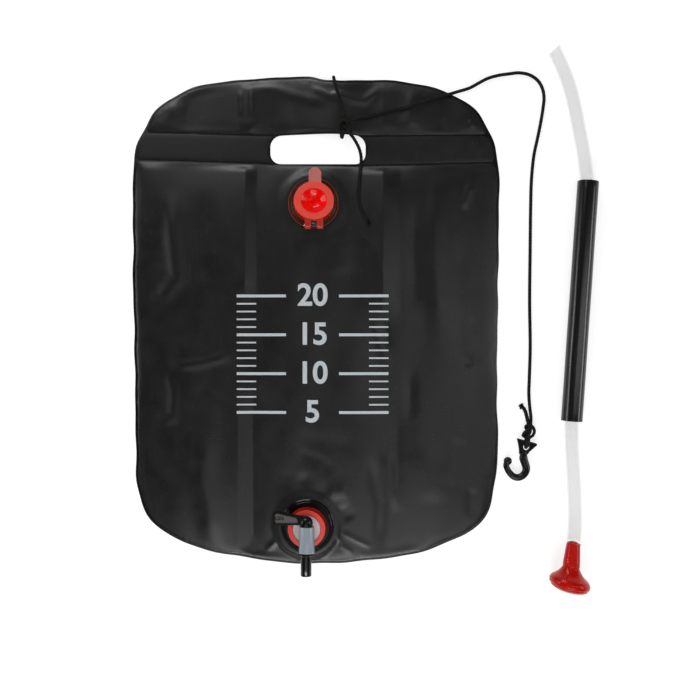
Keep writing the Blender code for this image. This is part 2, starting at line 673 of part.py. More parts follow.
def make_filler_cap():
    """Flip cap: flat ring with a plug cup, a lift tab toward the slot and two hinge lugs."""
    place = Matrix.Translation((FILLER_X, FILLER_Y, SEAT_Z))
    plug_r = FILLER_BORE_R - PLUG_CLEARANCE
    plug_low = CAP_LOW - PLUG_DEPTH
    profile = [
        (0, plug_low), (plug_r, plug_low), (plug_r, CAP_LOW), (CAP_RING_R, CAP_LOW),
        (CAP_RING_R, CAP_HIGH), (plug_r - PLUG_WALL, CAP_HIGH),
        (plug_r - PLUG_WALL, plug_low + PLUG_FLOOR_T), (0, plug_low + PLUG_FLOOR_T),
    ]
    item = revolve("filler_cap", profile, ROUND_STEPS, place)
    item = boolean(item, lift_tab(), "UNION")
    for side in (-1, 1):
        item = boolean(item, hinge_lug(side), "UNION")
    item = boolean(item, hinge_bore(), "DIFFERENCE")
    put_origin(item, (FILLER_X, FILLER_Y - HINGE_REACH, SEAT_Z + PIN_H))
    finish(item, CAP_RED, 0.3)


def lift_tab():
    """The cap's thumb tab, rounded at its end."""
    end = CAP_RING_R + TAB_LENGTH - TAB_WIDTH / 2
    outline = arc((0, end), TAB_WIDTH / 2, 0, 180, SMALL_STEPS // 2)
    outline += [(-TAB_WIDTH / 2, CAP_RING_R - TAB_ROOT), (TAB_WIDTH / 2, CAP_RING_R - TAB_ROOT)]
    low = SEAT_Z + CAP_LOW + (CAP_RING_T - TAB_THICKNESS) / 2
    return prism("tab", outline, TAB_THICKNESS, Matrix.Translation((FILLER_X, FILLER_Y, low)))


def hinge_lug(side):
    """One hinge lug of the cap: a round knuckle with a web into the ring."""
    web_low = LUG_KNUCKLE_R - LUG_WEB_T
    web_angle = math.degrees(math.asin(web_low / LUG_KNUCKLE_R))
    outline = arc((0, 0), LUG_KNUCKLE_R, 90, 360 + web_angle, SMALL_STEPS)
    outline += [(LUG_WEB_LENGTH, web_low), (LUG_WEB_LENGTH, LUG_KNUCKLE_R)]
    start = FILLER_X + side * (LUG_GAP + LUG_WIDTH) / 2 - LUG_WIDTH / 2
    place = along_x((start, FILLER_Y - HINGE_REACH, SEAT_Z + PIN_H))
    return prism("lug", outline, LUG_WIDTH, place)


def make_filler_hinge_pin():
    """Pin through the cap's lugs and the base's knuckle."""
    half = LUG_GAP / 2 + LUG_WIDTH
    place = along_x((FILLER_X, FILLER_Y - HINGE_REACH, SEAT_Z + PIN_H))
    item = cylinder("filler_hinge_pin", HINGE_PIN_R, -half, half, SMALL_STEPS, place)
    put_origin(item, (FILLER_X, FILLER_Y - HINGE_REACH, SEAT_Z + PIN_H))
    finish(item, STEEL, 0.3, 1.0)


def make_tap_flange():
    """Welded flange of the tap with the neck that the ring nut screws on."""
    step_top = TAP_FLANGE_T + TAP_STEP_T
    profile = [
        (TAP_BORE_R, 0), (TAP_FLANGE_R, 0), (TAP_FLANGE_R, TAP_FLANGE_T), (TAP_STEP_R, TAP_FLANGE_T),
        (TAP_STEP_R, step_top), (TAP_NECK_R, step_top), (TAP_NECK_R, TAP_NECK_H), (TAP_BORE_R, TAP_NECK_H),
    ]
    item = revolve("tap_flange", profile, ROUND_STEPS, Matrix.Translation((TAP_X, TAP_Y, SEAT_Z)))
    finish(item, BLACK_PLASTIC, 0.35)


def make_tap_washer():
    """Rubber ring between the neck and the tap's disc."""
    outer = TAP_NECK_R - WASHER_INSET
    profile = [
        (TAP_BORE_R, WASHER_LOW), (outer, WASHER_LOW),
        (outer, WASHER_LOW + WASHER_T), (TAP_BORE_R, WASHER_LOW + WASHER_T),
    ]
    item = revolve("tap_washer", profile, ROUND_STEPS, Matrix.Translation((TAP_X, TAP_Y, SEAT_Z)))
    finish(item, RUBBER_BLACK, 0.7)


def make_tap_body():
    """Disc, flattened stem and round barrel of the tap, bored for the water and the core."""
    profile = [
        (0, DISC_LOW), (DISC_FLANGE_R, DISC_LOW), (DISC_FLANGE_R, DISC_LOW + DISC_FLANGE_T),
        (DISC_BOSS_R, DISC_LOW + DISC_FLANGE_T), (DISC_BOSS_R, DISC_TOP), (0, DISC_TOP),
    ]
    item = revolve("tap_body", profile, ROUND_STEPS, Matrix.Translation((TAP_X, TAP_Y, SEAT_Z)))
    stem_top_y = BARREL_TOP_Y - STEM_R - STEM_SINK / 2
    outline = arc((0, 0), STEM_R, 0, 180, SMALL_STEPS // 2)
    outline += arc((0, -STEM_SPREAD), STEM_R, 180, 360, SMALL_STEPS // 2)
    low = SEAT_Z + DISC_TOP - STEM_SINK
    stem = prism("stem", outline, BARREL_Z - low, Matrix.Translation((TAP_X, stem_top_y, low)))
    item = boolean(item, stem, "UNION")
    barrel = [
        (0, 0), (BARREL_TOP_R, 0), (BARREL_FOOT_R, BARREL_LENGTH - BARREL_ROUND),
        (BARREL_FOOT_R - BARREL_ROUND / 3, BARREL_LENGTH - BARREL_ROUND / 3),
        (BARREL_FOOT_R - BARREL_ROUND / 2, BARREL_LENGTH), (0, BARREL_LENGTH),
    ]
    place = toward_foot((TAP_X, BARREL_TOP_Y, BARREL_Z))
    item = boolean(item, revolve("barrel", barrel, ROUND_STEPS, place), "UNION")
    bore_r = CORE_SHAFT_R + RUNNING_GAP
    bore = cylinder("bore", bore_r, -OVERRUN, BARREL_LENGTH + OVERRUN, ROUND_STEPS, place)
    item = boolean(item, bore, "DIFFERENCE")
    item = boolean(item, water_port("port", SEAT_Z + DISC_LOW - OVERRUN), "DIFFERENCE")
    put_origin(item, (TAP_X, TAP_Y, SEAT_Z))
    finish(item, BARREL_GREY, 0.4)


def water_port(name, low):
    """Cutter for the upright water port, from a height up to the middle of the barrel."""
    middle = BARREL_TOP_Y - STEM_R - STEM_SPREAD / 2
    return cylinder(name, STEM_BORE_R, low, BARREL_Z, SMALL_STEPS, Matrix.Translation((TAP_X, middle, 0)))


def make_tap_nut():
    """Ring nut: a skirt over the neck with a lip that holds the tap's disc down."""
    bore_r = TAP_NECK_R + TOUCH_GAP
    hole_r = DISC_BOSS_R + TOUCH_GAP
    top = NUT_LIP_LOW + NUT_LIP_T
    profile = [
        (bore_r, NUT_LOW), (NUT_R, NUT_LOW), (NUT_R, top), (hole_r, top),
        (hole_r, NUT_LIP_LOW), (bore_r, NUT_LIP_LOW),
    ]
    item = revolve("tap_nut", profile, ROUND_STEPS, Matrix.Translation((TAP_X, TAP_Y, SEAT_Z)))
    finish(item, NUT_RED, 0.35)


def make_tap_core():
    """Turning core: domed head with its lever, bored shaft and the hose nipple below the barrel."""
    dome_side = CORE_DOME_LENGTH - CORE_DOME_R
    bead = BARREL_LENGTH + TOUCH_GAP
    dome = [(r, -dome_side + h) for r, h in arc((0, 0), CORE_DOME_R, -90, 0, SMALL_STEPS // 3)]
    dome[0] = (0, -CORE_DOME_LENGTH)
    profile = dome + [
        (CORE_DOME_R, -TOUCH_GAP), (CORE_SHAFT_R, -TOUCH_GAP), (CORE_SHAFT_R, bead),
        (SNAP_BEAD_R, bead), (CORE_SHAFT_R, bead + SNAP_BEAD_T),
        (CORE_SHAFT_R, CORE_LENGTH - NIPPLE_CHAMFER), (CORE_SHAFT_R - NIPPLE_CHAMFER, CORE_LENGTH),
        (CORE_BORE_R, CORE_LENGTH), (CORE_BORE_R, CORE_BORE_STOP), (0, CORE_BORE_STOP),
    ]
    place = toward_foot((TAP_X, BARREL_TOP_Y, BARREL_Z))
    item = revolve("tap_core", profile, ROUND_STEPS, place)
    item = boolean(item, lever(), "UNION")
    item = boolean(item, water_port("port", BARREL_Z - CORE_SHAFT_R - OVERRUN), "DIFFERENCE")
    put_origin(item, (TAP_X, BARREL_TOP_Y, BARREL_Z))
    finish(item, BLACK_PLASTIC, 0.3)


def lever():
    """The core's flat lever, which widens toward its chamfered tip."""
    tip_top = LEVER_FOOT + LEVER_TIP_HEIGHT
    root_top = LEVER_FOOT + LEVER_ROOT_HEIGHT
    root = -CORE_DOME_R * LEVER_ROOT_SHARE
    outline = [
        (root, LEVER_FOOT), (root, root_top), (-CORE_DOME_R, root_top),
        (LEVER_CHAMFER - LEVER_LENGTH, tip_top), (-LEVER_LENGTH, tip_top - LEVER_CHAMFER),
        (-LEVER_LENGTH, LEVER_FOOT + LEVER_CHAMFER), (LEVER_CHAMFER - LEVER_LENGTH, LEVER_FOOT),
    ]
    low = BARREL_Z - LEVER_THICKNESS / 2
    return prism("lever", outline, LEVER_THICKNESS, Matrix.Translation((TAP_X, BARREL_TOP_Y, low)))


def smooth_route(route, step):
    """Reads evenly spaced points from one smooth curve through the route's own points."""
    points = np.array(route, float)
    spans = np.linalg.norm(np.diff(points, axis=0), axis=1)
    ticks = np.concatenate([[0], np.cumsum(spans)])
    slopes = np.gradient(points, ticks, axis=0)
    fine = np.linspace(0, ticks[-1], int(ticks[-1] / FINE_STEP))
    span = np.clip(np.searchsorted(ticks, fine, side="right") - 1, 0, len(spans) - 1)
    width = spans[span][:, None]
    t = ((fine - ticks[span]) / spans[span])[:, None]
    curve = (
        (1 + 2 * t) * (1 - t) ** 2 * points[span] + t * (1 - t) ** 2 * width * slopes[span]
        + t * t * (3 - 2 * t) * points[span + 1] + t * t * (t - 1) * width * slopes[span + 1]
    )
    lengths = np.concatenate([[0], np.cumsum(np.linalg.norm(np.diff(curve, axis=0), axis=1))])
    count = max(int(round(lengths[-1] / step)), 2)
    even = np.linspace(0, lengths[-1], count + 1)
    return np.stack([np.interp(even, lengths, curve[:, k]) for k in range(3)], axis=1)


def outside_knots(points, step, knots):
    """The part of a fine line that lies outside the given knots, spaced evenly again."""
    keep = np.ones(len(points), bool)
    for centre, radii, turn in knots:
        away = points - np.array(centre)
        cos, sin = math.cos(turn), math.sin(turn)
        local = np.stack([away[:, 0] * cos + away[:, 1] * sin, away[:, 1] * cos - away[:, 0] * sin,
                          away[:, 2]], axis=1)
        grown = np.array(radii) * (1 + KNOT_LUMP_SHARE) + TOUCH_GAP
        keep &= ((local / grown) ** 2).sum(1) > 1
    kept = points[keep]
    lengths = np.concatenate([[0], np.cumsum(np.linalg.norm(np.diff(kept, axis=0), axis=1))])
    count = max(int(round(lengths[-1] / step)), 2)
    even = np.linspace(0, lengths[-1], count + 1)
    return np.stack([np.interp(even, lengths, kept[:, k]) for k in range(3)], axis=1)


def tube(name, points, radius, resolution, widths=None):
    """A closed round tube along points, as a bevelled curve; widths are shares of the radius."""
    curve = bpy.data.curves.new(name, "CURVE")
    curve.dimensions = "3D"
    curve.bevel_depth = radius
    curve.bevel_resolution = resolution
    curve.use_fill_caps = True
    curve.render_resolution_u = 0
    spline = curve.splines.new("POLY")
    spline.points.add(len(points) - 1)
    spline.points.foreach_set("co", np.column_stack([points, np.ones(len(points))]).ravel())
    if widths is not None:
        spline.points.foreach_set("radius", widths)
    item = bpy.data.objects.new(name, curve)
    bpy.context.scene.collection.objects.link(item)
    return item


def make_cord(name, route, step, knots):
    """One free stretch of the cord, which stops just short of its knots."""
    points = outside_knots(smooth_route(route, FINE_STEP), step, knots)
    finish(tube(name, points, CORD_R, 2), BLACK_CORD, 0.8)


def make_knot(name, centre, radii, turn):
    """A tied lump of cord: a ball drawn out on three axes, with soft lumps in a slant round it."""
    rows = []
    for k in range(1, KNOT_RINGS):
        polar = math.pi * k / KNOT_RINGS
        around = 2 * math.pi * np.arange(KNOT_STEPS) / KNOT_STEPS
        swell = 1 + KNOT_LUMP_SHARE * np.cos(KNOT_LUMPS * around + 2 * polar) * math.sin(polar)
        rows.append(np.stack([swell * math.sin(polar) * np.cos(around),
                              swell * math.sin(polar) * np.sin(around),
                              np.full(KNOT_STEPS, math.cos(polar))], axis=1))
    verts = np.concatenate([[(0, 0, 1)]] + rows + [[(0, 0, -1)]]) * np.array(radii)
    faces = []
    last = len(verts) - 1
    for k in range(KNOT_STEPS):
        after = (k + 1) % KNOT_STEPS
        faces.append((0, 1 + k, 1 + after))
        faces.append((last, last - KNOT_STEPS + after, last - KNOT_STEPS + k))
        for row in range(KNOT_RINGS - 2):
            low = 1 + row * KNOT_STEPS
            faces.append((low + k, low + KNOT_STEPS + k, low + KNOT_STEPS + after, low + after))
    item = add_mesh(name, verts, faces)
    item.data.transform(Matrix.Rotation(turn, 4, "Z"))
    item.location = centre
    finish(item, BLACK_CORD, 0.8)


def make_hook():
    """Moulded hook: barbed head with the cord's eye, tapering bow and ball tip."""
    outline = [(EYE_X + HOOK_HEAD * x, EYE_Y + HOOK_HEAD * y) for x, y in HOOK_HEAD_SHARES]
    item = prism("hook", outline, HOOK_HEAD_T, Matrix.Translation((0, 0, HOOK_HEAD_LOW_Z)))
    route = [(EYE_X + HOOK_DROP * x, EYE_Y + HOOK_DROP * y, HOOK_SHANK_R) for x, y in HOOK_LINE_SHARES]
    points = smooth_route(route, HOOK_STEP)
    widths = np.linspace(1, HOOK_TIP_R / HOOK_SHANK_R, len(points))
    widths[0] *= HOOK_NECK_SHARE
    bow = bake(tube("bow", points, HOOK_SHANK_R, 3, widths))
    item = boolean(item, bow, "UNION")
    x, y = (HOOK_DROP * share for share in HOOK_BALL_SHARES)
    ball = [(r, h) for r, h in arc((0, 0), HOOK_BALL_R, -90, 90, SMALL_STEPS // 2)]
    ball[0], ball[-1] = (0, -HOOK_BALL_R), (0, HOOK_BALL_R)
    place = Matrix.Translation((EYE_X + x, EYE_Y + y, HOOK_SHANK_R))
    item = boolean(item, revolve("ball", ball, SMALL_STEPS, place), "UNION")
    eye = cylinder("eye", EYE_R, 0, HOOK_SHANK_R * 2, SMALL_STEPS, Matrix.Translation((EYE_X, EYE_Y, 0)))
    item = boolean(item, eye, "DIFFERENCE")
    put_origin(item, (EYE_X, EYE_Y, HOOK_SHANK_R))
    finish(item, BLACK_PLASTIC, 0.3)


def hose_points():
    """The hose's middle line, with closer points where it is stretched over the stem."""
    points = smooth_route(HOSE_ROUTE, HOSE_STEP)
    fine = smooth_route(HOSE_ROUTE, HOSE_END_STEP)
    away = np.linalg.norm(points - fine[-1], axis=1)
    near = np.linalg.norm(fine - fine[-1], axis=1)
    far = points[away > STEM_LENGTH + HOSE_STEP / 2]
    return np.concatenate([far, fine[near <= STEM_LENGTH + HOSE_END_STEP]])


def hose_bore(points):
    """The bore's radius at each point: plain, or as wide as the stem inside it needs."""
    back = np.linalg.norm(points - points[-1], axis=1)
    stem = HEAD_STEM_R + (STEM_TIP_R - HEAD_STEM_R) * back / STEM_LENGTH
    return np.maximum(HOSE_BORE_R, (stem + TOUCH_GAP) / math.cos(math.pi / HOSE_SIDES))


def make_hose():
    """Clear hose with its bore, flared where it is pushed over the shower head's stem."""
    points = hose_points()
    bore = hose_bore(points)
    outer = (bore + HOSE_R - HOSE_BORE_R) / HOSE_R
    item = bake(tube("hose", points, HOSE_R, HOSE_RESOLUTION, outer))
    outward = np.array([points[0] - points[1], points[-1] - points[-2]])
    outward *= OVERRUN / np.linalg.norm(outward, axis=1)[:, None]
    longer = np.concatenate([[points[0] + outward[0]], points, [points[-1] + outward[1]]])
    widths = np.concatenate([bore[:1], bore, bore[-1:]]) / HOSE_BORE_R
    item = boolean(item, bake(tube("bore", longer, HOSE_BORE_R, HOSE_RESOLUTION, widths)), "DIFFERENCE")
    finish(item, CLEAR_PVC, 0.15)


def make_grip_sleeve():
    """Black sleeve that slides loosely on the hose."""
    top = Vector((*SLEEVE_TOP, SLEEVE_R))
    foot = Vector((*SLEEVE_FOOT, SLEEVE_R))
    length = (foot - top).length
    turn = math.atan2(foot.x - top.x, top.y - foot.y)
    profile = [(SLEEVE_BORE_R, 0), (SLEEVE_R, 0), (SLEEVE_R, length), (SLEEVE_BORE_R, length)]
    item = revolve("grip_sleeve", profile, ROUND_STEPS, toward_foot(top, turn))
    put_origin(item, top)
    finish(item, SLEEVE_BLACK, 0.5)


def head_place():
    """The shower head's frame: its origin at the hose's lip and local Z out of the face."""
    return toward_foot((*HEAD_LIP, HEAD_Z), HEAD_TURN)


def bell_radius(share):
    """Outer radius of the bell, which widens along its length from collar to rim."""
    return COLLAR_R + (RIM_R - COLLAR_R) * share ** BELL_POWER


def make_shower_head():
    """Red bell with a hollow stem; its rim holds the rose plate."""
    shares = np.linspace(0, 1, BELL_RINGS)
    outer = [(bell_radius(s), s * BELL_LENGTH) for s in shares]
    seat_r = RIM_R - BELL_WALL
    seat_low = BELL_LENGTH - ROSE_SEAT
    profile = [(HEAD_STEM_BORE_R, -STEM_LENGTH), (STEM_TIP_R, -STEM_LENGTH), (HEAD_STEM_R, 0)]
    profile += outer + [(RIM_R - RIM_DROP, BELL_LENGTH + RIM_T), (seat_r, BELL_LENGTH + RIM_T)]
    profile += [(seat_r, seat_low), (seat_r - BELL_WALL, seat_low)]
    profile += [(bell_radius(s) - BELL_WALL, s * BELL_LENGTH) for s in shares[-3:0:-1]]
    profile += [(HEAD_STEM_BORE_R, BELL_WALL)]
    item = revolve("shower_head", profile, ROUND_STEPS, head_place())
    put_origin(item, (*HEAD_LIP, HEAD_Z))
    finish(item, HEAD_RED, 0.15)


def make_rose_plate():
    """Domed face of the shower head with rings of spray holes."""
    radius = RIM_R - BELL_WALL - TOUCH_GAP
    low = BELL_LENGTH - ROSE_SEAT + TOUCH_GAP
    shares = np.linspace(1, 0, ROSE_RINGS + 1)
    bulge = [(radius * s, low + ROSE_T + ROSE_BULGE * (1 - s * s)) for s in shares]
    hollow = [(radius * s, low + ROSE_BULGE * (1 - s * s)) for s in shares[::-1]]
    item = revolve("rose_plate", hollow + bulge, ROUND_STEPS, head_place())
    high = low + ROSE_T + ROSE_BULGE + OVERRUN
    for share, count in ROSE_HOLE_ROWS:
        for k in range(count):
            angle = 2 * math.pi * (k + share) / count
            reach = radius * share
            place = head_place() @ Matrix.Translation((reach * math.cos(angle), reach * math.sin(angle), 0))
            hole = cylinder("hole", ROSE_HOLE_R, low - OVERRUN, high, ROSE_HOLE_STEPS, place)
            item = boolean(item, hole, "DIFFERENCE")
    put_origin(item, (*HEAD_LIP, HEAD_Z))
    finish(item, HEAD_RED, 0.2)


def make_bag():
    """The two films and the fittings on them."""
    make_back_panel()
    make_front_panel()
    make_filler_base()
    make_filler_cap()
    make_filler_hinge_pin()
    make_tap_flange()
    make_tap_washer()
    make_tap_body()
    make_tap_nut()
    make_tap_core()


def make_hanger():
    """The cord in its separate stretches and knots, and the hook."""
    hang = (HANG_KNOT_CENTRE, HANG_KNOT_RADII, HANG_KNOT_TURN)
    hooked = (HOOK_KNOT_CENTRE, HOOK_KNOT_RADII, HOOK_KNOT_TURN)
    make_cord("hang_loop", LOOP_ROUTE, LOOP_STEP, [hang])
    make_knot("hang_knot", *hang)
    make_cord("hang_tail", TAIL_ROUTE, CORD_STEP, [hang])
    make_cord("hang_cord", RUN_ROUTE, CORD_STEP, [hang, hooked])
    make_knot("hook_knot", *hooked)
    make_cord("hook_tail", HOOK_TAIL_ROUTE, LOOP_STEP, [hooked])
    beside = tuple(radius + 2 * TOUCH_GAP for radius in HOOK_KNOT_RADII)
    make_cord("hook_loop", EYE_ROUTE, LOOP_STEP, [(HOOK_KNOT_CENTRE, beside, HOOK_KNOT_TURN)])
    make_hook()


def make_hose_set():
    """The loose hose with its sleeve and shower head."""
    make_hose()
    make_grip_sleeve()
    make_shower_head()
    make_rose_plate()


def main():
    """Builds the whole object in an emptied scene."""
    clear_scene()
    make_bag()
    make_hanger()
    make_hose_set()


main()
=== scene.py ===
"""Camp shower bag: the looks of every piece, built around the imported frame.

The file is laid out as an add-on, with one operator for each group of pieces and one for the
stage, and it is run as a script. Lengths are metres in the frame's own axes: +Z up from the
floor, +Y along the bag toward the hand slot, +X to the right toward the loose hose.
"""

import math

import bmesh
import bpy
import numpy as np
from bpy.props import FloatProperty, FloatVectorProperty, PointerProperty
from bpy.types import Operator, Panel, PropertyGroup
from mathutils import Matrix, Vector
from mathutils.geometry import delaunay_2d_cdt


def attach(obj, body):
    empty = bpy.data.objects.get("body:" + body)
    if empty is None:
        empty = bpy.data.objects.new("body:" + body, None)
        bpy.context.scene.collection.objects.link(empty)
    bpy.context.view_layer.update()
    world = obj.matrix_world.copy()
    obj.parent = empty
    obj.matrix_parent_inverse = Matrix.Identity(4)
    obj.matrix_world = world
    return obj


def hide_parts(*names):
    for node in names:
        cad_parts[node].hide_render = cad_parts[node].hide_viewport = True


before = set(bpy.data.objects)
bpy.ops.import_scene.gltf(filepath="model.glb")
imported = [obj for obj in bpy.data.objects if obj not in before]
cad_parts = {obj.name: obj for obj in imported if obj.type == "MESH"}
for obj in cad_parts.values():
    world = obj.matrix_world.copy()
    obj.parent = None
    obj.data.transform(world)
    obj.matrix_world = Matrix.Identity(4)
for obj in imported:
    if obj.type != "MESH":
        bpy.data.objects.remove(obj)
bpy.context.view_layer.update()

bl_info = {
    "name": "Camp shower bag",
    "version": (1, 0, 0),
    "blender": (4, 5, 0),
    "location": "3D View > Sidebar > Shower bag",
    "description": "Builds a camp shower bag with its cord, hook, hose and shower head",
    "category": "Object",
}

# Shared by all pieces
TAU = 2 * math.pi
MERGE = 1e-7
PHOTO_MIDDLE = (0.0388, -0.0342)
SHARP_ANGLE = math.radians(38)

# Bag outline, welds and hand slot
BAG_HALF_WIDTH = 0.209
BAG_HALF_FOOT = 0.205
BAG_HALF_LENGTH = 0.2774
SHOULDER_Y = 0.1484
HIP_Y = -0.1712
SHOULDER_SHARES = (0.71, 0.87)
HIP_SHARES = (0.73, 0.61)
EDGE_DIP = 0.003
SEAM_WIDTH = 0.0027
FILM = 0.0005
FILM_GAP = 0.0003
FRONT_LOW_Z = FILM + FILM_GAP
CHAMBER_TOP_Y = 0.1745
CHAMBER_RISE = 0.0067
STRIP_RISE = 0.0015
STRIP_BLEND = 0.015
SLOT_X = 0.0023
SLOT_HALF_LENGTH = 0.0543
SLOT_LOW_Y = 0.1776
SLOT_HIGH_Y = 0.2092
SLOT_CORNER = 0.012
SLOT_BOW = 0.0024
# Small bumps and dents of the outline: (x, y, reach, outward)
EDGE_BUMPS = (
    (0.1849, -0.2294, 0.045, 0.0045), (-0.1872, -0.2283, 0.040, 0.0030), (-0.0867, -0.2682, 0.050, -0.0025),
    (0.0616, -0.2716, 0.035, -0.0015), (0.2050, -0.1370, 0.060, 0.0022), (-0.1320, 0.2670, 0.035, 0.0025),
    (-0.1963, 0.2190, 0.025, -0.0020), (0.1950, 0.2190, 0.025, -0.0020), (-0.2070, 0.0400, 0.060, 0.0010),
    (0.0388, 0.2750, 0.040, -0.0024), (0.0080, 0.2772, 0.016, -0.0016), (0.0640, 0.2740, 0.028, -0.0012),
)
LOOP_X = 0.0255
LOOP_HALF_SPAN = 0.045
LOOP_LIFT = 0.0043
LIFT_START_Y = 0.192
LIFT_RUN = 0.015

# Lines of the two cross welds, as (x, y) points, and how the film stands beside a weld
LOWER_WELD = ((-0.2050, 0.1822), (-0.0530, 0.1778), (0.0525, 0.1757), (0.2050, 0.1795))
UPPER_WELD = ((-0.1960, 0.2131), (-0.0677, 0.2103), (0.0571, 0.2099), (0.1960, 0.2112))
WELD_HALF = 0.0011
PUFF = 0.0009
PUFF_REACH = 0.0018
BAND_PUFF = 0.00035
CORNER_BLEND = 0.006

# Filler
FILLER_X = -0.0025
FILLER_Y = 0.1319
SEAT_Z = 0.0083
FILLER_FLANGE_R = 0.02875
FILLER_BORE_R = 0.0163
FILLER_NECK_R = 0.0185
FILLER_NECK_H = 0.0104
CAP_RING_R = 0.0225
CAP_LOW = 0.0107
CAP_HIGH = 0.0127
PLUG_R = 0.0158
BOWL_R = 0.0144
CAP_SHIFT_X = 0.0009
BOWL_DEPTH = 0.0062
# The bowl as shares of its radius and of its depth below the ring
BOWL_SHARES = (
    (0, 1), (0.15, 0.99), (0.30, 0.955), (0.42, 0.88), (0.50, 0.79), (0.60, 0.65), (0.70, 0.50),
    (0.80, 0.345), (0.88, 0.22), (0.94, 0.115), (0.98, 0.04), (1, 0),
)
TAB_WIDTH = 0.014
TAB_LENGTH = 0.0167
HINGE_REACH = 0.026
PIN_H = 0.0084
LUG_GAP = 0.0064
LUG_WIDTH = 0.0073
LUG_R = 0.0041

# Tap
TAP_X = -0.0095
TAP_Y = -0.2334
TAP_FLANGE_R = 0.03025
TAP_STEP_R = 0.0255
TAP_NECK_R = 0.0175
TAP_BORE_R = 0.0125
DISC_LOW = 0.0138
DISC_TOP = 0.0183
NUT_LOW = 0.0035
NUT_TOP = 0.0187
BARREL_Z = 0.037
BARREL_TOP_Y = -0.2293
BARREL_LENGTH = 0.0294
CORE_SHAFT_R = 0.006
CORE_BORE_R = 0.0043
CORE_DOME_R = 0.0068
CORE_DOME_LENGTH = 0.012
CORE_LENGTH = 0.0541
LEVER_LENGTH = 0.0362
LEVER_FOOT = 0.0033
LEVER_TIP_HEIGHT = 0.0148
LEVER_ROOT_HEIGHT = 0.0091
LEVER_THICKNESS = 0.0048
LEVER_CHAMFER = 0.0025

# Cord, knots and hook
CORD_R = 0.0016
CORD_SHOWN_R = 0.0019
HANG_KNOT = (0.0337, 0.2180, 0.0098)
EYE_X = 0.2386
EYE_Y = -0.1442
EYE_R = 0.0035
HOOK_HEAD = 0.0128
HOOK_HEAD_SHARES = (
    (-0.83, 0.80), (-0.73, 0.35), (-0.64, -0.16), (-0.62, -0.66), (0.17, -0.66),
    (0.25, -0.48), (0.95, 0.12), (1.0, 0.24), (0.90, 0.33),
)
HOOK_HEAD_LOW_Z = 0.0037
HOOK_HEAD_T = 0.0035
HOOK_DROP = 0.0348
HOOK_LINE_SHARES = (
    (-0.052, -0.15), (-0.069, -0.218), (-0.080, -0.376), (-0.032, -0.537),
    (0.011, -0.698), (-0.032, -0.853), (-0.152, -0.966), (-0.270, -1.0),
    (-0.399, -0.966), (-0.526, -0.853), (-0.618, -0.698), (-0.647, -0.595),
    (-0.615, -0.500),
)
HOOK_SHANK_R = 0.0050
HOOK_TIP_R = 0.0033
HOOK_BALL_R = 0.00475
HOOK_BALL_SHARES = (-0.592, -0.460)

# Hose, sleeve and head
HOSE_R = 0.0078
HOSE_BORE_R = 0.0062
SLEEVE_R = 0.012
SLEEVE_BORE_R = 0.0102
SLEEVE_TOP = (0.3074, 0.1558)
SLEEVE_FOOT = (0.2888, -0.1143)
HEAD_LIP = (0.2856, -0.2735, 0.02335)
HEAD_TURN = math.radians(-8)
STEM_LENGTH = 0.0245
HEAD_BORE_R = 0.0042
BELL_WALL = 0.002
ROSE_T = 0.0014
# The head's outer skin as (distance from the hose's lip, radius), and how its section leans
BELL_SKIN = (
    (0.0000, 0.0088), (0.0002, 0.0094), (0.0012, 0.0095), (0.0020, 0.0093), (0.0045, 0.0103), (0.0075, 0.0122),
    (0.0100, 0.0143), (0.0122, 0.0169), (0.0140, 0.0194), (0.0152, 0.0208), (0.0160, 0.0213), (0.0168, 0.0219),
    (0.0180, 0.0225), (0.0195, 0.0228), (0.0212, 0.0228), (0.0226, 0.0224), (0.0234, 0.0217),
)
ROSE_SKIN = (
    (0.0232, 0.0212), (0.0250, 0.0208), (0.0268, 0.0190), (0.0280, 0.0168), (0.0290, 0.0140), (0.0299, 0.0095),
    (0.0304, 0.0050), (0.0306, 0.0000),
)
HEAD_SIDE_LEAN = 0.045
HEAD_FACE_LEAN = 0.076

# Routes of the cord's stretches and of the hose, the same as in the part's source
LOOP_ROUTE = (
    (0.0328, 0.2225, 0.0102), (0.0312, 0.2305, 0.0096), (0.0298, 0.2400, 0.0090),
    (0.0266, 0.2520, 0.0087), (0.0232, 0.2630, 0.0084), (0.0213, 0.2700, 0.0079),
    (0.0206, 0.2736, 0.0071), (0.0203, 0.2752, 0.0060), (0.0202, 0.2759, 0.0044),
    (0.0203, 0.2752, 0.0028), (0.0205, 0.2736, 0.0018), (0.0213, 0.2700, 0.0017),
    (0.0232, 0.2600, 0.0017), (0.0262, 0.2400, 0.0017), (0.0287, 0.2200, 0.0017),
    (0.0295, 0.2125, 0.0017), (0.0297, 0.2088, 0.0022), (0.0299, 0.2074, 0.0046),
    (0.0302, 0.2084, 0.0070), (0.0312, 0.2108, 0.0088), (0.0324, 0.2150, 0.0098),
)
TAIL_ROUTE = (
    (0.0345, 0.2175, 0.0098), (0.0378, 0.2118, 0.0092), (0.0415, 0.2075, 0.0080),
    (0.0462, 0.2005, 0.0066), (0.0497, 0.1930, 0.0054), (0.0514, 0.1850, 0.0045),
    (0.0513, 0.1770, 0.0042), (0.0503, 0.1690, 0.0052), (0.0492, 0.1592, 0.0078),
    (0.0484, 0.1500, 0.0098), (0.0481, 0.1400, 0.0101), (0.0489, 0.1320, 0.0101),
    (0.0508, 0.1265, 0.0100), (0.0545, 0.1195, 0.0100), (0.0595, 0.1109, 0.0100),
)
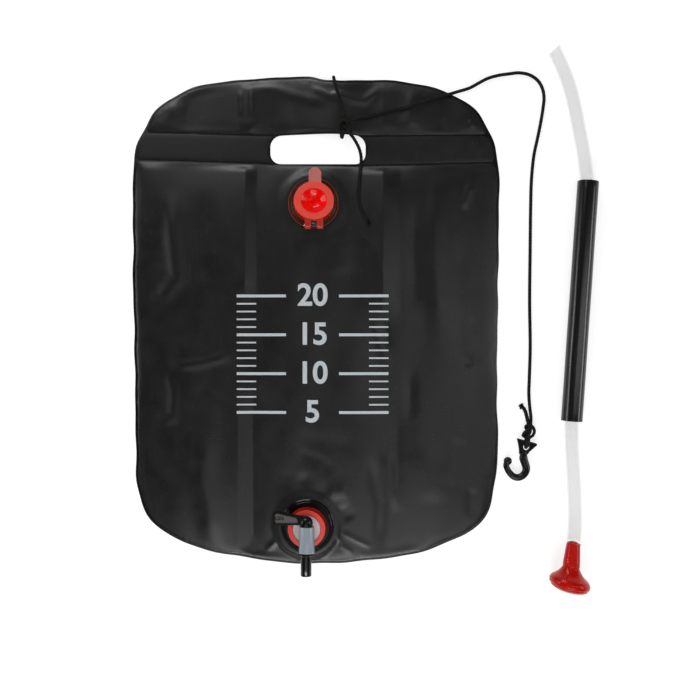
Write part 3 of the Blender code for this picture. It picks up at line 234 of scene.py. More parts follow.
RUN_ROUTE = (
    (0.0338, 0.2200, 0.0098), (0.0400, 0.2258, 0.0095), (0.0500, 0.2288, 0.0083),
    (0.0621, 0.2312, 0.0066), (0.0756, 0.2357, 0.0053), (0.0842, 0.2380, 0.0052),
    (0.0929, 0.2397, 0.0052), (0.1027, 0.2413, 0.0051), (0.1150, 0.2455, 0.0051),
    (0.1336, 0.2516, 0.0044), (0.1497, 0.2561, 0.0038), (0.1609, 0.2596, 0.0028),
    (0.1759, 0.2646, 0.0018), (0.1857, 0.2700, 0.0017), (0.1956, 0.2751, 0.0017),
    (0.2080, 0.2786, 0.0017), (0.2203, 0.2804, 0.0017), (0.2315, 0.2815, 0.0017),
    (0.2448, 0.2785, 0.0017), (0.2540, 0.2712, 0.0017), (0.2586, 0.2616, 0.0017),
    (0.2598, 0.2518, 0.0017), (0.2586, 0.2406, 0.0017), (0.2555, 0.2220, 0.0017),
    (0.2520, 0.2050, 0.0017), (0.2488, 0.1905, 0.0017), (0.2465, 0.1726, 0.0017),
    (0.2452, 0.1541, 0.0017), (0.2446, 0.1300, 0.0017), (0.2440, 0.0800, 0.0017),
    (0.2434, 0.0216, 0.0017), (0.2440, -0.0373, 0.0017), (0.2430, -0.0684, 0.0017),
    (0.2425, -0.0841, 0.0018), (0.2434, -0.0990, 0.0022), (0.2445, -0.1120, 0.0036),
    (0.2440, -0.1200, 0.0046),
)
HOOK_TAIL_ROUTE = (
    (0.2423, -0.1208, 0.0046), (0.2411, -0.1151, 0.0032), (0.2395, -0.1078, 0.0022),
    (0.2381, -0.1033, 0.0020), (0.2363, -0.1003, 0.0020), (0.2345, -0.0984, 0.0021),
)
EYE_ROUTE = (
    (0.2404, -0.1285, 0.0066), (0.2398, -0.1325, 0.0075), (0.2393, -0.1350, 0.0086),
    (0.2389, -0.1378, 0.0092), (0.2387, -0.1406, 0.0092), (0.2386, -0.1434, 0.0080),
    (0.2385, -0.1448, 0.0055), (0.2386, -0.1434, 0.0030), (0.2388, -0.1406, 0.0018),
    (0.2390, -0.1378, 0.0018), (0.2394, -0.1350, 0.0021), (0.2399, -0.1325, 0.0027),
    (0.2406, -0.1285, 0.0034),
)
HOSE_ROUTE = (
    (0.2700, 0.3059, 0.0079), (0.2780, 0.2890, 0.0079), (0.2850, 0.2715, 0.0079),
    (0.2900, 0.2550, 0.0079), (0.2942, 0.2365, 0.0080), (0.2982, 0.2155, 0.0083),
    (0.3020, 0.1940, 0.0092), (0.3048, 0.1740, 0.0101), (0.3066, 0.1560, 0.0107),
    (0.3061, 0.1360, 0.0108), (0.3045, 0.1100, 0.0108), (0.3018, 0.0700, 0.0107),
    (0.2987, 0.0250, 0.0107), (0.2956, -0.0200, 0.0107), (0.2925, -0.0650, 0.0108),
    (0.2899, -0.1000, 0.0110), (0.2888, -0.1180, 0.0114), (0.2886, -0.1350, 0.0123),
    (0.2890, -0.1541, 0.0141), (0.2896, -0.1760, 0.0170), (0.2899, -0.1950, 0.0196),
    (0.2900, -0.2100, 0.0215), (0.2898, -0.2245, 0.0228), (0.2892, -0.2379, 0.02335),
    (0.2881, -0.2492, 0.02335), (0.2869, -0.2614, 0.02335), (0.28565, -0.2732, 0.02335),
)

# Turns of the two knots: (radius, route) of each
HANG_KNOT_TURNS = (
    (0.0019, ((0.0318, 0.2330, 0.0100), (0.0309, 0.2270, 0.0112), (0.0282, 0.2229, 0.0118),
              (0.0264, 0.2191, 0.0108), (0.0270, 0.2150, 0.0092), (0.0288, 0.2103, 0.0080),
              (0.0293, 0.2062, 0.0072))),
    (0.0018, ((0.0261, 0.2223, 0.0082), (0.0289, 0.2245, 0.0118), (0.0332, 0.2248, 0.0124),
              (0.0361, 0.2219, 0.0112), (0.0370, 0.2179, 0.0095), (0.0393, 0.2138, 0.0085))),
    (0.0017, ((0.0316, 0.2220, 0.0085), (0.0338, 0.2174, 0.0112), (0.0372, 0.2140, 0.0104),
              (0.0406, 0.2120, 0.0080))),
    (0.0017, ((0.0275, 0.2160, 0.0078), (0.0313, 0.2137, 0.0080), (0.0354, 0.2156, 0.0078),
              (0.0384, 0.2198, 0.0080), (0.0361, 0.2242, 0.0085))),
    (0.0017, ((0.0314, 0.2266, 0.0105), (0.0322, 0.2315, 0.0118), (0.0312, 0.2368, 0.0112),
              (0.0291, 0.2421, 0.0103), (0.0268, 0.2480, 0.0094))),
    (0.0022, ((0.0292, 0.2222, 0.0086), (0.0312, 0.2192, 0.0092), (0.0330, 0.2160, 0.0086))),
)
HOOK_KNOT_TURNS = (
    (0.0018, ((0.2442, -0.1150, 0.0030), (0.2443, -0.1194, 0.0050), (0.2465, -0.1221, 0.0065),
              (0.2480, -0.1261, 0.0060), (0.2469, -0.1306, 0.0048), (0.2436, -0.1333, 0.0042),
              (0.2396, -0.1333, 0.0050), (0.2357, -0.1318, 0.0062))),
    (0.0018, ((0.2350, -0.1317, 0.0050), (0.2363, -0.1278, 0.0078), (0.2396, -0.1247, 0.0092),
              (0.2430, -0.1221, 0.0080), (0.2441, -0.1183, 0.0050))),
    (0.0018, ((0.2384, -0.1222, 0.0040), (0.2391, -0.1200, 0.0060), (0.2414, -0.1209, 0.0085),
              (0.2430, -0.1247, 0.0088), (0.2416, -0.1290, 0.0085), (0.2387, -0.1338, 0.0085))),
    (0.0018, ((0.2361, -0.1339, 0.0030), (0.2389, -0.1298, 0.0028), (0.2418, -0.1264, 0.0028),
              (0.2402, -0.1225, 0.0030), (0.2381, -0.1233, 0.0045))),
    (0.0018, ((0.2410, -0.1290, 0.0072), (0.2408, -0.1340, 0.0094), (0.2405, -0.1385, 0.0104),
              (0.2398, -0.1414, 0.0101), (0.2393, -0.1430, 0.0094))),
)
# Untwisted strands at the end of the hook's short tail
TAIL_LOBES = (
    (0.0013, ((0.2366, -0.1008, 0.0024), (0.2340, -0.0986, 0.0024), (0.2316, -0.0968, 0.0022))),
    (0.0012, ((0.2360, -0.1000, 0.0026), (0.2347, -0.0974, 0.0026), (0.2338, -0.0952, 0.0022))),
    (0.0012, ((0.2362, -0.1004, 0.0020), (0.2341, -0.1003, 0.0018), (0.2322, -0.1010, 0.0016))),
)

# Folds in the front film. A band is a straight-sided tilted strip between two upright lines:
# (from x, to x, low y, high y, height at its second line, length in which it fades beyond, and
# the lengths of its soft lower and upper ends).
BANDS = (
    (-0.0675, -0.0800, 0.030, 0.176, 0.0026, 0.034, 0.030, 0.004),
    (-0.0868, -0.0727, 0.214, 0.276, 0.0014, 0.020, 0.004, 0.004),
    (-0.0856, -0.0727, 0.180, 0.209, 0.0006, 0.016, 0.004, 0.004),
    (-0.0884, -0.0715, -0.285, -0.085, -0.0026, 0.026, 0.004, 0.045),
    (0.0960, 0.0765, 0.010, 0.176, 0.0028, 0.030, 0.040, 0.004),
    (0.0924, 0.0765, 0.180, 0.209, 0.0008, 0.016, 0.004, 0.004),
    (0.0924, 0.0765, 0.214, 0.270, 0.0008, 0.020, 0.004, 0.010),
)
# A ridge is a soft crest along a line: (height, half width, its points as x and y)
RIDGES = (
    (0.0022, 0.0100, ((-0.1640, 0.1500), (-0.1621, 0.0947), (-0.1564, 0.0491), (-0.1723, 0.0285),
                      (-0.1963, 0.0148))),
    (-0.0010, 0.0120, ((-0.1250, 0.1500), (-0.1280, 0.0900), (-0.1200, 0.0300))),
    (0.0002, 0.0014, ((-0.1438, 0.0685), (-0.1438, 0.0422))),
    (0.0012, 0.0060, ((-0.1697, -0.0533), (-0.1300, -0.0490), (-0.0898, -0.0380))),
    (0.0011, 0.0065, ((-0.1700, -0.0536), (-0.1601, -0.0799), (-0.1621, -0.1107), (-0.1906, -0.1176))),
    (-0.0009, 0.0110, ((-0.1400, -0.0750), (-0.1100, -0.0950), (-0.0950, -0.1150))),
    (0.0022, 0.0130, ((-0.1267, -0.1270), (-0.1278, -0.1678), (-0.1210, -0.2054), (-0.1176, -0.2625))),
    (-0.0014, 0.0075, ((0.0616, -0.1518), (0.0662, -0.1803), (0.0742, -0.2089), (0.0719, -0.2648))),
    (0.0010, 0.0080, ((0.0820, -0.1450), (0.0860, -0.1900), (0.0940, -0.2200))),
    (-0.0009, 0.0050, ((0.0913, -0.1061), (0.0924, -0.1974))),
    (0.0017, 0.0100, ((0.1358, 0.1650), (0.1358, 0.1200), (0.1370, 0.0500), (0.1400, -0.0200))),
    (-0.0011, 0.0070, ((0.1118, 0.1300), (0.1118, 0.0700), (0.1130, 0.0100))),
    (0.0010, 0.0045, ((0.1769, 0.1564), (0.1712, 0.1404), (0.1655, 0.1255))),
    (-0.0008, 0.0060, ((0.1701, -0.0365), (0.1746, -0.0548))),
    (-0.0010, 0.0060, ((0.1073, -0.0500), (0.1073, -0.1150))),
    (0.0007, 0.0045, ((0.0662, 0.0034), (0.0730, -0.0285), (0.0856, -0.0571))),
    (-0.0005, 0.0035, ((0.0765, 0.0000), (0.0833, -0.0342))),
    (0.0005, 0.0035, ((0.0502, 0.1004), (0.0673, 0.0799), (0.0765, 0.0457))),
    (0.0009, 0.0030, ((-0.0582, -0.2648), (-0.0434, -0.2499), (-0.0251, -0.2671))),
    (0.0007, 0.0027, ((0.0217, -0.2374), (0.0297, -0.2568), (0.0434, -0.2659))),
    (0.0006, 0.0027, ((0.0262, -0.2397), (0.0479, -0.2511), (0.0651, -0.2591))),
    (-0.0013, 0.0100, ((-0.0217, -0.1769), (-0.0068, -0.1940), (0.0091, -0.2054))),
    (0.0012, 0.0080, ((0.0126, -0.1963), (0.0388, -0.1940))),
    (-0.0010, 0.0080, ((0.0274, -0.2111), (0.0388, -0.2283))),
    (0.0011, 0.0055, ((-0.0696, 0.2682), (-0.0297, 0.2568), (0.0160, 0.2454))),
    (0.0011, 0.0040, ((-0.0060, 0.2650), (0.0160, 0.2545), (0.0320, 0.2550))),
    (0.0012, 0.0045, ((0.0160, 0.2590), (0.0420, 0.2500), (0.0560, 0.2490), (0.0670, 0.2590),
                      (0.0740, 0.2700))),
    (0.0007, 0.0026, ((-0.0430, 0.2148), (-0.0046, 0.2180), (0.0274, 0.2157))),
    (0.0013, 0.0075, ((0.1107, 0.2625), (0.1084, 0.2374), (0.1050, 0.2146))),
    (0.0006, 0.0050, ((0.1495, 0.2283), (0.1450, 0.2146))),
    (0.0007, 0.0035, ((0.1769, 0.2283), (0.1769, 0.2169))),
    (0.0012, 0.0100, ((-0.1650, 0.2480), (-0.1560, 0.2350))),
    (-0.0008, 0.0060, ((-0.1400, 0.2500), (-0.1430, 0.2169))),
    (0.0008, 0.0028, ((-0.0860, 0.2620), (-0.0850, 0.2300))),
    (0.0006, 0.0028, ((-0.0730, 0.2620), (-0.0730, 0.2300))),
    (0.0012, 0.0120, ((0.1963, 0.1541), (0.1940, 0.0200), (0.1974, -0.1141))),
    (-0.0010, 0.0110, ((0.1650, 0.1000), (0.1620, 0.0100), (0.1600, -0.0500))),
    (0.0010, 0.0160, ((0.1250, -0.1400), (0.1350, -0.2100))),
    (-0.0010, 0.0120, ((0.1620, -0.1300), (0.1500, -0.1900))),
    (-0.0009, 0.0060, ((0.1770, -0.1900), (0.1770, -0.2250))),
    (0.0009, 0.0160, ((0.0250, 0.0950), (0.0300, 0.0500))),
    (-0.0006, 0.0120, ((-0.0300, -0.1350), (0.0450, -0.1450))),
    (-0.0009, 0.0075, ((-0.0230, -0.1500), (0.0050, -0.1600), (0.0200, -0.1750))),
)
# Factor on all the folds' heights
FOLD_DEPTH = 1.35
# Slow swells of the film: (height, wavelength along x, along y, phase)
SWELLS = (
    (0.00045, 0.150, 0.900, 0.4), (0.00035, 0.095, -0.700, 2.1), (0.00030, 0.210, 0.260, 1.2),
    (0.00015, 0.061, 0.330, 3.0), (0.00012, 0.048, -0.170, 5.1),
)


class FilmSettings(PropertyGroup):
    """Sizes and colours of the bag's films and their print."""

    grid_pitch: FloatProperty(
        name="Grid pitch", description="Distance between the film's mesh points",
        default=0.0027, min=0.001, unit="LENGTH", precision=4)
    film_colour: FloatVectorProperty(
        name="Film colour", description="Colour of the black film",
        default=(0.0031, 0.0031, 0.0030), size=3, min=0, max=1, subtype="COLOR")
    film_roughness: FloatProperty(
        name="Film roughness", description="How dull the embossed film is",
        default=0.38, min=0, max=1, subtype="FACTOR")
    print_colour: FloatVectorProperty(
        name="Print colour", description="Colour of the printed fill scale",
        default=(0.56, 0.61, 0.64), size=3, min=0, max=1, subtype="COLOR")
    digit_height: FloatProperty(
        name="Digit height", description="Height of the printed numbers",
        default=0.0245, min=0.005, unit="LENGTH", precision=4)


class CordSettings(PropertyGroup):
    """Look of the braided cord and of the hook."""

    cord_colour: FloatVectorProperty(
        name="Cord colour", description="Colour of the braided cord",
        default=(0.0075, 0.0075, 0.0075), size=3, min=0, max=1, subtype="COLOR")
    strand_relief: FloatProperty(
        name="Strand relief", description="How far the braid's strands stand out",
        default=0.00022, min=0, unit="LENGTH", precision=5)
    hook_colour: FloatVectorProperty(
        name="Hook colour", description="Colour of the moulded hook",
        default=(0.004, 0.004, 0.004), size=3, min=0, max=1, subtype="COLOR")


class FittingSettings(PropertyGroup):
    """Colours of the filler and the tap."""

    cap_colour: FloatVectorProperty(
        name="Cap colour", description="Red of the filler's cap",
        default=(0.80, 0.068, 0.048), size=3, min=0, max=1, subtype="COLOR")
    tab_colour: FloatVectorProperty(
        name="Tab colour", description="Pale red of the cap's thin tab",
        default=(0.62, 0.20, 0.17), size=3, min=0, max=1, subtype="COLOR")
    filler_colour: FloatVectorProperty(
        name="Filler colour", description="Dark red-brown of the filler's welded flange",
        default=(0.052, 0.016, 0.006), size=3, min=0, max=1, subtype="COLOR")
    nut_colour: FloatVectorProperty(
        name="Nut colour", description="Red of the tap's ring nut",
        default=(0.72, 0.050, 0.036), size=3, min=0, max=1, subtype="COLOR")
    disc_colour: FloatVectorProperty(
        # The disc's pink tint is painted reflection of the red nut around it; the disc's own colour is pale grey.
        name="Disc colour", description="Pale pink-grey of the tap's disc",
        default=(0.58, 0.50, 0.50), size=3, min=0, max=1, subtype="COLOR")
    barrel_colour: FloatVectorProperty(
        name="Barrel colour", description="Blue-grey of the tap's barrel",
        default=(0.270, 0.310, 0.355), size=3, min=0, max=1, subtype="COLOR")
    black_colour: FloatVectorProperty(
        name="Black plastic", description="Colour of the tap's flange, core and lever",
        default=(0.0032, 0.0032, 0.0032), size=3, min=0, max=1, subtype="COLOR")


class HoseSettings(PropertyGroup):
    """Colours of the hose, its sleeve and the shower head."""

    hose_tint: FloatVectorProperty(
        name="Hose tint", description="Grey of the clear hose's faint haze",
        default=(0.46, 0.46, 0.455), size=3, min=0, max=1, subtype="COLOR")
    sleeve_colour: FloatVectorProperty(
        name="Sleeve colour", description="Colour of the grip sleeve",
        default=(0.0045, 0.0045, 0.0045), size=3, min=0, max=1, subtype="COLOR")
    head_colour: FloatVectorProperty(
        name="Head colour", description="Deep red of the shower head",
        default=(0.47, 0.0045, 0.0008), size=3, min=0, max=1, subtype="COLOR")


class StageSettings(PropertyGroup):
    """The camera, the lamps and the floor."""

    camera_height: FloatProperty(
        name="Camera height", description="Height of the camera above the floor",
        default=1.0, min=0.2, unit="LENGTH")
    lens: FloatProperty(
        name="Lens", description="Focal length of the camera in millimetres",
        default=45.06, min=10, unit="CAMERA")
    lamp_power: FloatProperty(
        name="Lamp power", description="Factor on the power of all the softboxes",
        default=1.0, min=0)
    sky_level: FloatProperty(
        name="Sky level", description="Brightness of the plain surroundings",
        default=0.17, min=0, max=1, subtype="FACTOR")


def soft_step(share):
    """Zero below 0, one above 1 and three shares squared less two cubed between."""
    share = np.clip(share, 0, 1)
    return share * share * (3 - 2 * share)


def bell(share):
    """One at the middle, falling by an even S-curve to zero at a distance of one."""
    return soft_step(1 - np.abs(share))


def low_blend(first, second, width):
    """The lesser of two values, with the corner between them rounded over a width."""
    overlap = np.maximum(width - np.abs(first - second), 0)
    return np.minimum(first, second) - overlap * overlap / (4 * width)


def soften(outline, radius, steps=4):
    """Rounds a closed outline's corners: each corner becomes a quadratic curve between two points
    that lie a radius, or 45 parts of 100 of the side, to either side of it."""
    corner = np.array(outline, float)
    before, after = np.roll(corner, 1, axis=0), np.roll(corner, -1, axis=0)
    radius = np.broadcast_to(radius, len(corner))[:, None]

    def toward(other):
        away = other - corner
        size = np.linalg.norm(away, axis=1, keepdims=True)
        return corner + away / size * np.minimum(radius, 0.45 * size)

    start, end = toward(before)[:, None], toward(after)[:, None]
    t = np.linspace(0, 1, steps + 1)[None, :, None]
    curve = (1 - t) ** 2 * start + 2 * t * (1 - t) * corner[:, None] + t * t * end
    return curve.reshape(-1, 2)


def inset_outline(points, depth):
    """A closed anticlockwise outline moved inward along its normals by a depth."""
    along = np.roll(points, -1, axis=0) - np.roll(points, 1, axis=0)
    along /= np.linalg.norm(along, axis=1)[:, None]
    return points + depth * np.stack([-along[:, 1], along[:, 0]], axis=1)


def even_loop(points, step):
    """A closed outline read again in even steps of about the given length."""
    closed = np.concatenate([points, points[:1]])
    lengths = np.concatenate([[0], np.cumsum(np.linalg.norm(np.diff(closed, axis=0), axis=1))])
    count = int(round(lengths[-1] / step))
    even = np.arange(count) * lengths[-1] / count
    return np.stack([np.interp(even, lengths, closed[:, k]) for k in range(2)], axis=1)


def line_distance(points, line):
    """Least distance of each point to an open line, and the share of the line's length there."""
    line = np.array(line, float)
    step = np.diff(line, axis=0)
    size = np.linalg.norm(step, axis=1)
    offset = points[:, None, :] - line[None, :-1, :]
    share = np.clip((offset * step).sum(2) / (size * size), 0, 1)
    away = np.linalg.norm(offset - share[:, :, None] * step, axis=2)
    nearest = away.argmin(1)
    ends = np.concatenate([[0], np.cumsum(size)])
    rows = np.arange(len(points))
    at = (ends[nearest] + share[rows, nearest] * size[nearest]) / ends[-1]
    return away[rows, nearest], at


def loop_distance(points, loop):
    """Least distance of each point to a closed outline, in blocks to save memory."""
    closed = np.concatenate([loop, loop[:1]])
    blocks = np.array_split(points, max(len(points) // 4000, 1))
    return np.concatenate([line_distance(block, closed)[0] for block in blocks])


def inside(points, loop):
    """True for each point inside a closed outline, by counting its crossings to one side."""
    ax, ay = loop[:, 0], loop[:, 1]
    bx, by = np.roll(ax, -1), np.roll(ay, -1)
    drop = np.where(by == ay, 1, by - ay)
    found = []
    for block in np.array_split(points, max(len(points) // 4000, 1)):
        x, y = block[:, 0, None], block[:, 1, None]
        crossing = ((ay > y) != (by > y)) & (x < (bx - ax) * (y - ay) / drop + ax)
        found.append(crossing.sum(1) % 2 == 1)
    return np.concatenate(found)


def circle(x, y, radius, steps):
    """A round anticlockwise outline: radius times cosine and sine of even angles."""
    angle = TAU * np.arange(steps) / steps
    return np.stack([x + radius * np.cos(angle), y + radius * np.sin(angle)], axis=1)


def arc(x, y, radius, start, end, steps):
    """Points of an arc between two angles in degrees."""
    angle = np.radians(np.linspace(start, end, steps + 1))
    return np.stack([x + radius * np.cos(angle), y + radius * np.sin(angle)], axis=1)


def smooth_route(route, step):
    """Even points on a smooth curve through a route: cubic Hermite spans whose slopes are the
    central differences of the route's points over their chord lengths."""
    points = np.array(route, float)
    spans = np.linalg.norm(np.diff(points, axis=0), axis=1)
    ticks = np.concatenate([[0], np.cumsum(spans)])
    slopes = np.gradient(points, ticks, axis=0)
    fine = np.linspace(0, ticks[-1], int(ticks[-1] / 0.0002))
    span = np.clip(np.searchsorted(ticks, fine, side="right") - 1, 0, len(spans) - 1)
    width = spans[span][:, None]
    t = ((fine - ticks[span]) / spans[span])[:, None]
    curve = (
        (1 + 2 * t) * (1 - t) ** 2 * points[span] + t * (1 - t) ** 2 * width * slopes[span]
        + t * t * (3 - 2 * t) * points[span + 1] + t * t * (t - 1) * width * slopes[span + 1]
    )
    lengths = np.concatenate([[0], np.cumsum(np.linalg.norm(np.diff(curve, axis=0), axis=1))])
    count = max(int(round(lengths[-1] / step)), 2)
    even = np.linspace(0, lengths[-1], count + 1)
    return np.stack([np.interp(even, lengths, curve[:, k]) for k in range(3)], axis=1)


def smooth_profile(points, count):
    """A turned profile's (height, radius) points read again in even steps of a smooth curve."""
    route = np.column_stack([np.array(points, float), np.zeros(len(points))])
    curve = smooth_route(route, 0.0003)
    pick = np.linspace(0, len(curve) - 1, count).round().astype(int)
    return curve[pick, 0], curve[pick, 1]


def path_frames(points, closed=False):
    """Direction and two cross directions at each point of a path. The first cross direction is
    the last one with its part along the path taken out, so the section doesn't twist."""
    if closed:
        along = np.roll(points, -1, axis=0) - np.roll(points, 1, axis=0)
    else:
        along = np.gradient(points, axis=0)
    along /= np.linalg.norm(along, axis=1)[:, None]
    side = np.empty_like(points)
    last = np.cross(along[0], (0.0, 0.0, 1.0))
    if np.linalg.norm(last) < 0.1:
        last = np.cross(along[0], (0.0, 1.0, 0.0))
    for k, ahead in enumerate(along):
        last = last - ahead * (last @ ahead)
        last = last / np.linalg.norm(last)
        side[k] = last
    return along, side, np.cross(side, along)


def place_mesh(name, verts, faces, uv=None):
    """Makes a mesh object: doubles merged, loose edges dropped, faces turned to point outward."""
    mesh = bpy.data.meshes.new(name)
    mesh.from_pydata(np.asarray(verts).tolist(), [], faces)
    if uv is not None:
        mesh.uv_layers.new(name="UVMap").uv.foreach_set("vector", np.asarray(uv, np.float32).ravel())
    shell = bmesh.new()
    shell.from_mesh(mesh)
    bmesh.ops.remove_doubles(shell, verts=shell.verts, dist=MERGE)
    loose = [edge for edge in shell.edges if not edge.link_faces]
    bmesh.ops.delete(shell, geom=loose, context="EDGES")
    if shell.calc_volume(signed=True) < 0:
        bmesh.ops.reverse_faces(shell, faces=shell.faces)
    shell.to_mesh(mesh)
    shell.free()
    item = bpy.data.objects.new(name, mesh)
    bpy.context.scene.collection.objects.link(item)
    item.data.shade_smooth()
    item.data.set_sharp_from_angle(angle=SHARP_ANGLE)
    return item


def skin(name, grid, around=True, along=False, ends=False, uv_size=None):
    """A mesh over a grid of points (row, column, 3): one face between each four neighbours,
    joined round across the columns and, where asked, the rows; ends closes both end rows."""
    rows, columns = grid.shape[:2]
    i = np.arange(rows if along else rows - 1)
    j = np.arange(columns if around else columns - 1)
    i, j = (a.ravel() for a in np.meshgrid(i, j, indexing="ij"))
    corners = ((i, j), (i, j + 1), (i + 1, j + 1), (i + 1, j))
    quads = np.stack([(a % rows) * columns + b % columns for a, b in corners], axis=1)
    faces = quads.tolist()
    uv = None
    if uv_size is not None:
        flat = [np.stack([a * uv_size[0], b * uv_size[1]], axis=1) for a, b in corners]
        uv = np.stack(flat, axis=1).reshape(-1, 2)
    if ends:
        faces.append(list(range(columns))[::-1])
        faces.append(list(range((rows - 1) * columns, rows * columns)))
        if uv is not None:
            uv = np.concatenate([uv, np.zeros((2 * columns, 2))])
    return place_mesh(name, grid.reshape(-1, 3), faces, uv)


def lathe(name, profile, steps, place=Matrix(), swell=None, closed=True):
    """A turned piece: each (radius, height) of the profile goes round the local Z axis in even
    steps; swell adds to the radius by angle, radius and height."""
    profile = np.array(profile, float)
    angle = TAU * np.arange(steps)[None, :] / steps
    radius = np.repeat(profile[:, :1], steps, axis=1)
    height = np.repeat(profile[:, 1:], steps, axis=1)
    if swell is not None:
        radius = radius + swell(angle, radius, height)
    grid = np.stack([radius * np.cos(angle), radius * np.sin(angle), height], axis=2)
    item = skin(name, grid, along=closed)
    item.data.transform(place)
    return item


def stack(name, outline, levels, place=Matrix()):
    """A piece built up of one outline at several levels: each level is (inset, height), and the
    first and last are closed with a flat face."""
    outline = np.array(outline, float)
    rows = []
    for depth, height in levels:
        row = inset_outline(outline, depth)
        rows.append(np.column_stack([row, np.full(len(row), height)]))
    item = skin(name, np.array(rows), ends=True)
    item.data.transform(place)
    return item


def rounded_levels(low, high, radius, steps=3):
    """Levels for a plain thick plate whose two edges are quarter-rounded."""
    angle = np.linspace(0, math.pi / 2, steps + 1)
    inset, rise = radius * (1 - np.sin(angle)), radius * (1 - np.cos(angle))
    lower = [(a, low + b) for a, b in zip(inset, rise)]
    return lower + [(a, high + low - b) for a, b in lower[::-1]]


def tube(name, points, radius, sides, closed=False, uv_scale=None):
    """A round skin carried along a path; radius is one number, one a point or one a corner."""
    along, side, up = path_frames(points, closed)
    angle = TAU * np.arange(sides) / sides
    ring = np.cos(angle)[None, :, None] * side[:, None] + np.sin(angle)[None, :, None] * up[:, None]
    radius = np.asarray(radius, float)
    if radius.ndim == 1:
        radius = radius[:, None]
    grid = points[:, None] + ring * np.broadcast_to(radius, (len(points), sides))[:, :, None]
    return skin(name, grid, along=closed, ends=not closed, uv_size=uv_scale)


def baked(item):
    """The mesh object that an object's modifiers or curve shows, in its place."""
    mesh = bpy.data.meshes.new_from_object(item.evaluated_get(bpy.context.evaluated_depsgraph_get()))
    mesh.transform(item.matrix_world)
    name = item.name
    bpy.data.objects.remove(item, do_unlink=True)
    made = bpy.data.objects.new(name, mesh)
    bpy.context.scene.collection.objects.link(made)
    return made


def cut_away(item, tool):
    """Takes a tool body out of a piece for good."""
    modifier = item.modifiers.new("Cut", "BOOLEAN")
    modifier.operation = "DIFFERENCE"
    modifier.solver = "EXACT"
    modifier.object = tool
    made = baked(item)
    bpy.data.objects.remove(tool, do_unlink=True)
    made.data.shade_smooth()
    made.data.set_sharp_from_angle(angle=SHARP_ANGLE)
    return made


def joined(name, items):
    """One mesh object made of several."""
    merged = bmesh.new()
    for item in items:
        merged.from_mesh(item.data)
    mesh = bpy.data.meshes.new(name)
    merged.to_mesh(mesh)
    merged.free()
    for item in items:
        bpy.data.objects.remove(item, do_unlink=True)
    made = bpy.data.objects.new(name, mesh)
    bpy.context.scene.collection.objects.link(made)
    made.data.shade_smooth()
    made.data.set_sharp_from_angle(angle=SHARP_ANGLE)
    return made


def seat(item, body, finish, replaced=()):
    """Gives a piece its material, the body that it moves with and the nodes that it stands for."""
    item.data.materials.clear()
    item.data.materials.append(finish)
    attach(item, body)
    if replaced:
        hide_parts(*replaced)
    return item


def toward_foot(origin, turn=0.0):
    """Turns local Z to run toward -Y, swung by an angle about the upright axis."""
    swing = Matrix.Rotation(turn, 4, "Z") @ Matrix.Rotation(math.radians(90), 4, "X")
    return Matrix.Translation(origin) @ swing


def along_x(origin):
    """Places local X as world Y, local Y as world Z and local Z as world X."""
    return Matrix.Translation(origin) @ Matrix(((0, 0, 1, 0), (1, 0, 0, 0), (0, 1, 0, 0), (0, 0, 0, 1)))


def new_material(name):
    """A node material with its tree and Principled shader."""
    made = bpy.data.materials.new(name)
    made.use_nodes = True
    return made, made.node_tree, made.node_tree.nodes["Principled BSDF"]


def add_node(tree, kind, sockets=None, **settings):
    """Adds a shader node with its settings and the values of its input sockets."""
    made = tree.nodes.new(kind)
    for key, value in settings.items():
        setattr(made, key, value)
    for key, value in (sockets or {}).items():
        made.inputs[key].default_value = value
    return made


def noise(tree, coordinates, scale, detail=2.0, roughness=0.5):
    """A noise texture on given coordinates."""
    made = add_node(tree, "ShaderNodeTexNoise", {"Scale": scale, "Detail": detail, "Roughness": roughness})
    tree.links.new(coordinates, made.inputs["Vector"])
    return made.outputs["Fac"]


def spread(tree, factor, low, high):
    """Maps a factor from its usual 0.3 to 0.7 onto a range."""
    made = add_node(tree, "ShaderNodeMapRange",
                    {"From Min": 0.3, "From Max": 0.7, "To Min": low, "To Max": high})
    tree.links.new(factor, made.inputs["Value"])
    return made.outputs["Result"]


def tinted(tree, factor, dark, light):
    """A colour that goes from dark to light with a factor."""
    made = add_node(tree, "ShaderNodeMix", data_type="RGBA")
    for socket, colour in zip([s for s in made.inputs if s.type == "RGBA"], (dark, light)):
        socket.default_value = (*colour, 1)
    tree.links.new(factor, made.inputs["Factor"])
    return next(s for s in made.outputs if s.type == "RGBA")


def bumped(tree, heights, distance, strength=1.0):
    """A bump normal from a height factor."""
    made = add_node(tree, "ShaderNodeBump", {"Distance": distance, "Strength": strength})
    tree.links.new(heights, made.inputs["Height"])
    return made.outputs["Normal"]


